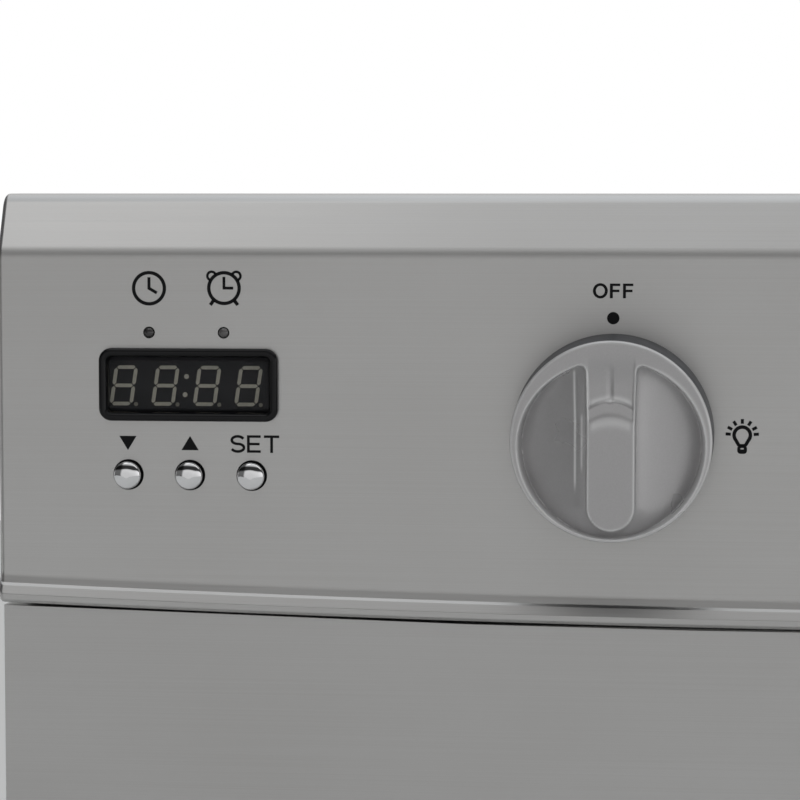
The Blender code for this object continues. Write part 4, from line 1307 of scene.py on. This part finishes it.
@dataclass
class Knob:
    """Round knob with two deep scoops that leave a grip bar between them.

    Each arc that bounds the scoops is a radius and the height of its centre above the axis. The
    core and the bore are shares of the radius.
    """

    name: str
    centre: Array
    radius: float = 23.8
    tip: float = -214.8
    near: float = -192.8
    low_arc: tuple[float, float] = (22.2, -1.0)
    top_arc: tuple[float, float] = (24.1, -4.7)
    corner: float = 2.4
    deepest: float = 7.5
    bar_half: float = 5.35
    bar_end: float = -15.5
    rim_soft: float = 0.6
    core: float = 0.965
    bore: float = 0.1375

    def margins(self, a: Array, b: Array) -> tuple[Array, Array, Array]:
        """Distances that lay out the scoops.

        Args:
            a: distance to the right of the axis.
            b: distance above the axis.

        Returns:
            Distance outside the bar, distance inside the scoops' outer arcs, and distance inside
            a scoop whose corner between the two is rounded.
        """
        half = self.bar_half + 0.3 * np.clip((b - 4.0) / 13.0, 0.0, 1.0)
        outside = np.where(b > self.bar_end, np.abs(a) - half, np.hypot(a, b - self.bar_end) - self.bar_half)
        low, high = (radius - np.hypot(a, b - centre) for radius, centre in (self.low_arc, self.top_arc))
        inside = soft_min(low, high, 1.6)
        short = np.hypot(np.maximum(self.corner - outside, 0.0), np.maximum(self.corner - inside, 0.0))
        return outside, inside, np.where(short > 0.0, self.corner - short, np.minimum(outside, inside))

    def depth(self, a: Array, b: Array) -> Array:
        """Depth of the front below its rim plane.

        The scoops lie inside two arcs and outside the bar. Each falls steeply from the bar, then
        slopes gently outwards, and climbs back to the rim at its outer arc.
        The bar's own face has two low steps and a shallow groove near the top.

        Args:
            a: distance to the right of the axis.
            b: distance above the axis.

        Returns:
            Depth in millimetres, 0 on the rim.
        """
        outside, inside, nearest = self.margins(a, b)
        wide = np.maximum(outside, 0.0)
        slope = 0.5 * smooth(outside, -0.1, 0.3) + 2.3 * (1.0 - np.exp(-wide / 2.6)) + 0.27 * wide
        climb = self.deepest * smooth(inside, -0.1, 1.1) + 0.2
        scoop = soft_min(slope, climb, 0.6) * smooth(nearest, 0.0, 0.5)
        on_bar = smooth(-outside, -0.2, 0.5)
        arch = b + 0.066 * a ** 2
        steps = 0.30 * smooth(arch, 9.2, 10.2) + 0.22 * smooth(arch, 5.4, 7.4)
        ledge = on_bar * steps * smooth(-b, -21.0, -13.0)
        groove = 0.45 * np.exp(-((a + 0.2) / 0.45) ** 2) * smooth(b, 8.5, 10.5) * smooth(-b, -18.5, -16.5)
        return np.maximum(scoop, 0.0) + ledge + groove

    def painted_highlight(self, a: Array, b: Array) -> Array:
        """How much painted highlight a spot gets, 0 to 1.

        Bells run along the scoops' edges, the rim, two lines in the left scoop and two arcs on
        the bar.

        Args:
            a: distance to the right of the axis.
            b: distance above the axis.

        Returns:
            The share of painted highlight at each spot.
        """
        outside, inside, nearest = self.margins(a, b)
        edge = 0.75 * np.exp(-((nearest - 0.12) / (0.28 + 0.3 * smooth(a, 8.0, 14.0))) ** 2)
        rim = 0.6 * np.exp(-((self.radius - 0.3 - np.hypot(a, b)) / 0.3) ** 2)
        far = np.exp(-((outside - 3.1) / 0.26) ** 2) * smooth(b, -13.0, -9.0)
        close = 0.7 * np.exp(-((outside - 1.5) / 0.24) ** 2) * smooth(b, -8.0, -5.0) * smooth(-b, -7.0, -5.0)
        lines = np.maximum(far, close) * (a < 0) * smooth(inside, 0.6, 1.6)
        arch = b + 0.05 * a ** 2
        arcs = 0.55 * np.exp(-((arch - 10.2) / 0.7) ** 2) + 0.4 * np.exp(-((arch - 4.6) / 1.1) ** 2)
        arcs = arcs * smooth(-outside, 0.2, 1.2)
        return np.clip(np.maximum(np.maximum(edge, rim), np.maximum(lines, arcs)), 0.0, 1.0)

    def front(self) -> Array:
        """Front surface as points of shape (columns, rows, 3), each column at a constant a.

        A column's b is the half chord sqrt(R^2 - a^2) times the sine of an even step, so points
        crowd at the rim, where the edge is rounded by a quarter circle.
        """
        spaced = self.radius * np.sin(np.linspace(-math.pi / 2.0, math.pi / 2.0, 161))
        dense = np.linspace(4.9, 7.1, 23)
        wall = np.linspace(7.25, 9.2, 16)
        a = np.unique(np.round(np.concatenate([spaced, dense, -dense, wall, -wall]), 3))
        a[0], a[-1] = -self.radius, self.radius
        t = np.sin(np.linspace(-math.pi / 2.0, math.pi / 2.0, 281))
        grid_a = np.repeat(a[:, None], len(t), axis=1)
        grid_b = np.sqrt(np.maximum(self.radius ** 2 - grid_a ** 2, 0.0)) * t[None, :]
        soft = self.rim_soft
        rim = np.clip(self.radius - np.hypot(grid_a, grid_b), 0.0, soft)
        rounded = soft - np.sqrt(np.maximum(soft ** 2 - (soft - rim) ** 2, 0.0))
        y = self.tip + self.depth(grid_a, grid_b) + rounded
        return np.stack([self.centre[0] + grid_a, y, self.centre[1] + grid_b], axis=-1)

    def build(self) -> None:
        """Join the front to a side wall, the back and the bore for the shaft."""
        net = self.front()
        face = Shape().net(net, close_cols=False)
        loop = np.concatenate([net[:, -1], net[::-1, 0]])
        flat = loop[:, [0, 2]] - self.centre
        inner = flat * self.core
        rows = [loop]
        for ring in (flat, inner):
            rows.append(placed(self.centre + ring, self.tip + 2.0, Axis.Y))
        face.net(np.stack(rows[:2])).net(np.stack(rows[1:]))
        steps = ((inner * 0.999, self.near - 0.6), (flat * self.bore, self.near - 0.6),
                 (flat * self.bore, self.tip + 4.0), (flat * 0.0, self.tip + 4.0))
        face.net(np.stack([rows[2]] + [placed(self.centre + ring, y, Axis.Y) for ring, y in steps]))
        made = face.piece(self.name + "_face", KNOB_FACE, self.name, (self.name + "_knob",), sharp=60.0)
        # Painted highlights: a per-point share of a brighter base colour along the scoop edges, rim and bar,
        # read by the face finish.
        spots = np.zeros(len(made.data.vertices) * 3)
        made.data.vertices.foreach_get("co", spots)
        spots = spots.reshape(-1, 3) / MM
        shine = self.painted_highlight(spots[:, 0] - self.centre[0], spots[:, 2] - self.centre[1])
        shine = shine * (spots[:, 1] < self.tip + 10.0)
        made.data.attributes.new("painted_highlight", "FLOAT", "POINT").data.foreach_set("value", shine)
        self.skirt()

    def skirt(self) -> None:
        """Side wall in a dark body colour, made darker also as painted shade for the knob's side: a sleeve
        round the knob with softened ends.
        """
        r = self.radius
        inner = r * 0.967
        profile = [(inner, self.tip + 2.4), (r - 0.2, self.tip + 1.9), (r + 0.05, self.tip + 2.2),
                   (r + 0.6, self.near - 0.6), (r + 0.3, self.near - 0.05), (inner, self.near - 0.05)]
        shape = lathe(Shape(), np.array(profile + profile[:1]), self.centre, Axis.Y, 160)
        shape.piece(self.name + "_side", KNOB_SIDE, self.name)


def soft_min(first: Array, second: Array, blend: float) -> Array:
    """Lesser of two values with a rounded change-over of the given width."""
    share = np.clip(0.5 + 0.5 * (second - first) / blend, 0.0, 1.0)
    return second * (1.0 - share) + first * share - blend * share * (1.0 - share)


def smooth(value: Array, low: float, high: float) -> Array:
    """0 below low, 1 above high, and a cubic ease between."""
    share = np.clip((value - low) / (high - low), 0.0, 1.0)
    return share * share * (3.0 - 2.0 * share)


@dataclass
class Door:
    """Framed glass door with a bar handle on two round stand-offs."""

    handle_x: float = 207.0
    handle_y: float = -233.0
    handle_r: float = 7.0
    handle_z: tuple[float, float] = (115.0, 305.0)
    post_z: tuple[float, float] = (140.0, 280.0)

    def frame(self) -> None:
        """The frame and the inner panel with softened edges, the hinges and the catch."""
        weigh_normals(softened("door_frame", DOOR_STEEL, "door", 0.7))
        weigh_normals(softened("door_inner", INNER_STEEL, "door", 0.3))
        dress(COATED_STEEL, "hinge_upper", "hinge_lower", "catch_strike")
        dress(MAGNET, "catch_magnet")

    def pane(self) -> None:
        """Clear pane with polished, rounded edges."""
        low, high = box_mm("door_glass")
        centre, size = (low + high) / 2.0, high - low
        outline = rounded_rectangle(centre[[0, 2]], size[[0, 2]], 4.0)
        pane = plate(Shape(), outline, low[1], high[1], Axis.Y, 0.8)
        pane.piece("door_pane", GLASS, "door", ("door_glass",))

    def seal(self) -> None:
        """Gasket: a rounded bead on a flat foot, carried round the door."""
        low, high = box_mm("door_gasket")
        centre, size = (low + high)[[0, 2]] / 2.0, (high - low)[[0, 2]]
        section = [(0.2, high[1] - 4.4), (0.0, high[1] - 5.2), (6.0, high[1] - 5.2), (5.8, high[1] - 4.4)]
        turn = np.linspace(0.0, math.pi, 11)
        section += [(3.0 + 2.5 * math.cos(t), high[1] - 3.0 + 2.95 * math.sin(t)) for t in turn]
        rings = [placed(rounded_rectangle(centre, size - 2.0 * inset, 12.0 - inset), y, Axis.Y)
                 for inset, y in section]
        Shape().net(np.stack(rings), close_rows=True).piece("door_seal", RUBBER, "door", ("door_gasket",))

    def handle(self) -> None:
        """Round bar with domed ends, and stand-offs with a collar at each end."""
        r, (low, high) = self.handle_r, self.handle_z
        turn = np.linspace(0.0, math.pi / 2.0, 9)
        dome = [(r * math.sin(t), low + 2.2 * (1.0 - math.cos(t))) for t in turn]
        top = [(r * math.cos(t), high - 2.2 * (1.0 - math.sin(t))) for t in turn]
        shape = lathe(Shape(), np.array(dome + top), (self.handle_x, self.handle_y), Axis.Z, 72)
        shape.piece("door_handle_bar", HANDLE_STEEL, "door", ("door_handle",), sharp=50.0)
        for name, z in zip(("handle_post_lower", "handle_post_upper"), self.post_z):
            profile = np.array([(0.0, -192.35), (6.2, -192.35), (6.5, -192.8), (6.5, -194.6), (6.1, -195.0),
                                (4.5, -195.4), (4.4, -210.0), (4.5, -224.2), (5.0, -224.9), (5.0, -226.4),
                                (0.0, -226.4)])
            post = lathe(Shape(), profile, (self.handle_x, z), Axis.Y, 48)
            post.piece(name + "_turned", SHAFT, "door", (name,), sharp=40.0)

    def build(self) -> None:
        """Make the door."""
        self.frame()
        self.pane()
        self.seal()
        self.handle()


@dataclass
class Cabinet:
    """Outer cover, rear cover, base, feet and supply."""

    cover: float = 0.8
    bend: float = 5.0
    foot_at: tuple[tuple[str, float, float], ...] = (
        ("foot_front_left", -190.0, -135.0), ("foot_front_right", 190.0, -135.0),
        ("foot_rear_left", -190.0, 200.0), ("foot_rear_right", 190.0, 200.0))

    def shell(self) -> None:
        """One sheet bent over both sides and the top: a path offset by the sheet's thickness."""
        low, high = box_mm("outer_shell")
        corners = [(low[0], low[2], 0.0), (low[0], high[2], self.bend), (high[0], high[2], self.bend),
                   (high[0], low[2], 0.0)]
        outer = filleted(corners, 10)
        outline = np.concatenate([outer, offset_line(outer, -self.cover)[::-1]])
        shape = plate(Shape(), outline, low[1], high[1], Axis.Y, 0.2, 2)
        shape.piece("cover_sheet", DOOR_STEEL, "cabinet", ("outer_shell",), sharp=50.0)

    def feet(self) -> None:
        """Turned rubber feet with a grooved side and a recessed sole."""
        profile = np.array([(0.0, 1.2), (12.0, 1.2), (12.6, 0.0), (16.0, 0.0), (17.2, 0.5), (17.8, 1.8),
                            (18.5, 6.0), (18.1, 6.6), (18.1, 7.4), (18.9, 8.0), (19.8, 13.0),
                            (19.8, 14.4), (19.3, 14.9), (0.0, 14.9)])
        for name, x, y in self.foot_at:
            foot = lathe(Shape(), profile, (x, y), Axis.Z, 64)
            foot.piece(name + "_turned", RUBBER, "cabinet", (name,), 40.0)

    def build(self) -> None:
        """Make the cabinet."""
        self.shell()
        weigh_normals(softened("rear_panel", DOOR_STEEL, "cabinet", 0.3))
        weigh_normals(softened("front_frame", DOOR_STEEL, "cabinet", 0.4))
        self.feet()
        dress(COATED_STEEL, "base_pan")
        dress(BLACK, "power_inlet")
        dress(WHITE, "terminal_block")


@dataclass
class Trays:
    """Six chromed wire trays and the drip pan."""

    pitch: float = 12.0
    margin: float = 10.0
    side_links: int = 6
    end_links: int = 8
    wire: float = 0.9
    rim: float = 2.3

    def rail(self, shape: Shape, half: float, y0: float, y1: float, z: float, radius: float) -> None:
        """A rod bent into a rectangle with round corners."""
        flat = rounded_rectangle((0.0, (y0 + y1) / 2.0), (2.0 * half, y1 - y0), 14.0, 6)
        tube(shape, placed(flat, z, Axis.Z), radius, 10, closed=True)

    def tray(self, name: str) -> None:
        """Two rails, upright links between them and a floor of crossed wires."""
        low, high = box_mm(name)
        shape = Shape()
        r, w = self.rim, self.wire
        half, y0, y1 = high[0] - r, low[1] + r, high[1] - r
        self.rail(shape, half, y0, y1, high[2] - r, r)
        self.rail(shape, half, y0, y1, low[2] + r, r)
        x = np.arange(-half + self.margin, half - self.margin + 1.0, self.pitch)
        floor = low[2] + r + w
        long = [placed(np.stack([x, x * 0 + end], 1), floor, Axis.Z) for end in (y0, y1)]
        rods(shape, *long, w, 8)
        y = np.arange(y0 + self.margin, y1 - self.margin + 1.0, self.pitch)
        across = floor - 1.7 * w
        short = [placed(np.stack([y * 0 + end, y], 1), across, Axis.Z) for end in (-half, half)]
        rods(shape, *short, w, 8)
        along_y = np.linspace(y0 + 2.0 * self.margin, y1 - 2.0 * self.margin, self.side_links)
        along_x = np.linspace(-half + 2.0 * self.margin, half - 2.0 * self.margin, self.end_links)
        links = np.concatenate([
            np.stack([np.repeat([-half, half], self.side_links), np.tile(along_y, 2)], 1),
            np.stack([np.tile(along_x, 2), np.repeat([y0, y1], self.end_links)], 1)])
        rods(shape, placed(links, low[2] + r, Axis.Z), placed(links, high[2] - r, Axis.Z), w * 1.2, 8)
        shape.piece(name + "_wires", WIRE, name, (name,), sharp=50.0)

    def drip(self) -> None:
        """Pressed pan: nested rounded outlines from the outer wall over the rim to the floor."""
        low, high = box_mm("drip_tray")
        centre, size = (low + high)[:2] / 2.0, (high - low)[:2]
        steps = [(1.6, 0.0), (0.4, 0.5), (0.0, 1.6), (0.0, 11.2), (0.3, 11.9), (0.7, 12.0), (1.1, 11.8),
                 (1.2, 11.2), (1.3, 2.6), (1.8, 1.5), (2.9, 1.2)]
        rings = [placed(rounded_rectangle(centre, size - 2.0 * inset, 10.0 - inset), low[2] + up, Axis.Z)
                 for inset, up in steps]
        pan = Shape().net(np.stack(rings), caps=True)
        pan.piece("drip_pan", INNER_STEEL, "drip_tray", ("drip_tray",), 50.0)

    def build(self) -> None:
        """Make all trays."""
        for index in range(1, 7):
            self.tray(f"tray_{index}")
        self.drip()


@dataclass
class Interior:
    """Chamber, fan bay, lamp and the parts behind the panel."""

    fan_z: float = 205.0
    heater_r: float = 84.0
    heater_rod: float = 3.2
    lamp_at: tuple[float, float] = (120.0, 60.0)
    bulb_z: tuple[float, float] = (372.0, 407.8)

    def heater(self) -> None:
        """Sheathed rod bent to a ring, with both ends turned back through the dish."""
        leg, plane, bend = 12.0, 188.0, 8.0
        start = math.asin((leg + bend) / self.heater_r)
        turn = np.linspace(-math.pi / 2.0 + start, 1.5 * math.pi - start, 97)
        ring = np.stack([self.heater_r * np.cos(turn), np.full(97, plane),
                         self.fan_z + self.heater_r * np.sin(turn)], axis=-1)
        curve = np.linspace(0.0, math.pi / 2.0, 9)[1:]
        low = ring[-1, 2]
        ends = []
        for side in (1.0, -1.0):
            x = side * (leg + bend) - side * bend * np.sin(curve)
            y = plane + bend * (1.0 - np.cos(curve))
            turned = placed(np.stack([x, y], axis=-1), low, Axis.Z)
            ends.append(np.concatenate([turned, [(side * leg, 215.8, low)]]))
        path = np.concatenate([ends[0][::-1], ring, ends[1]])
        rod = tube(Shape(), path, self.heater_rod, 16)
        rod.piece("heater_rod", DARK_COAT, "cabinet", ("heater_element",), 50.0)

    def lamp(self) -> None:
        """Lathe-turned bulb, holder and cover glass."""
        at, (low, high) = self.lamp_at, self.bulb_z
        s = np.linspace(0.0, 1.0, 25)
        radius = 11.5 * np.sqrt(np.clip(1.0 - ((s - 0.42) / 0.42) ** 2, 0.0, 1.0)) * (s < 0.6)
        radius = np.where(s >= 0.6, 7.0 + 3.2 * np.exp(-((s - 0.6) / 0.08)), radius)
        profile = np.stack([radius, low + (high - low) * s], axis=-1)
        profile = np.concatenate([profile, [(0.0, high)]])
        lathe(Shape(), profile, at, Axis.Z, 48).piece("lamp_globe", BULB, "cabinet", ("lamp_bulb",), 60.0)
        outside = [(0.0, 354.2), (8.0, 354.6), (13.5, 356.4), (17.2, 360.0), (18.4, 364.0), (18.4, 367.7)]
        inside = [(16.4, 367.7), (16.4, 363.5), (15.2, 360.6), (12.2, 358.2), (7.5, 356.9), (0.0, 356.6)]
        lathe(Shape(), np.array(outside + inside), at, Axis.Z, 56).piece(
            "lamp_glass", GLASS, "cabinet", ("lamp_cover",), 60.0)
        dress(CERAMIC, "lamp_holder", "thermal_cutout")

    def build(self) -> None:
        """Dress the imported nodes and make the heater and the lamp."""
        dress(INNER_STEEL, "chamber_liner", "rear_baffle", "side_rack_left", "side_rack_right", "fan_shroud",
              "fan_impeller")
        dress(COATED_STEEL, "fan_motor", "thermostat_body")
        dress(SHAFT, "fan_shaft", "thermostat_sensor", "selector_shaft", "thermostat_shaft")
        dress(WHITE, "timer_housing", "selector_switch")
        dress(BOARD, "timer_board")
        self.heater()
        self.lamp()


def main() -> None:
    """Build the studio and every sub-assembly, in order."""
    logging.basicConfig(level=logging.INFO, format="%(name)s: %(message)s")
    Studio().build()
    ControlPanel().build()
    Markings().build()
    ClockDisplay().build()
    PushButtons().build()
    for name, u in zip(("selector", "thermostat"), ControlPanel.knob_u):
        Knob(name, on_panel(u, ControlPanel.knob_v)).build()
    Door().build()
    Cabinet().build()
    Trays().build()
    Interior().build()


if __name__ == "__main__":
    main()
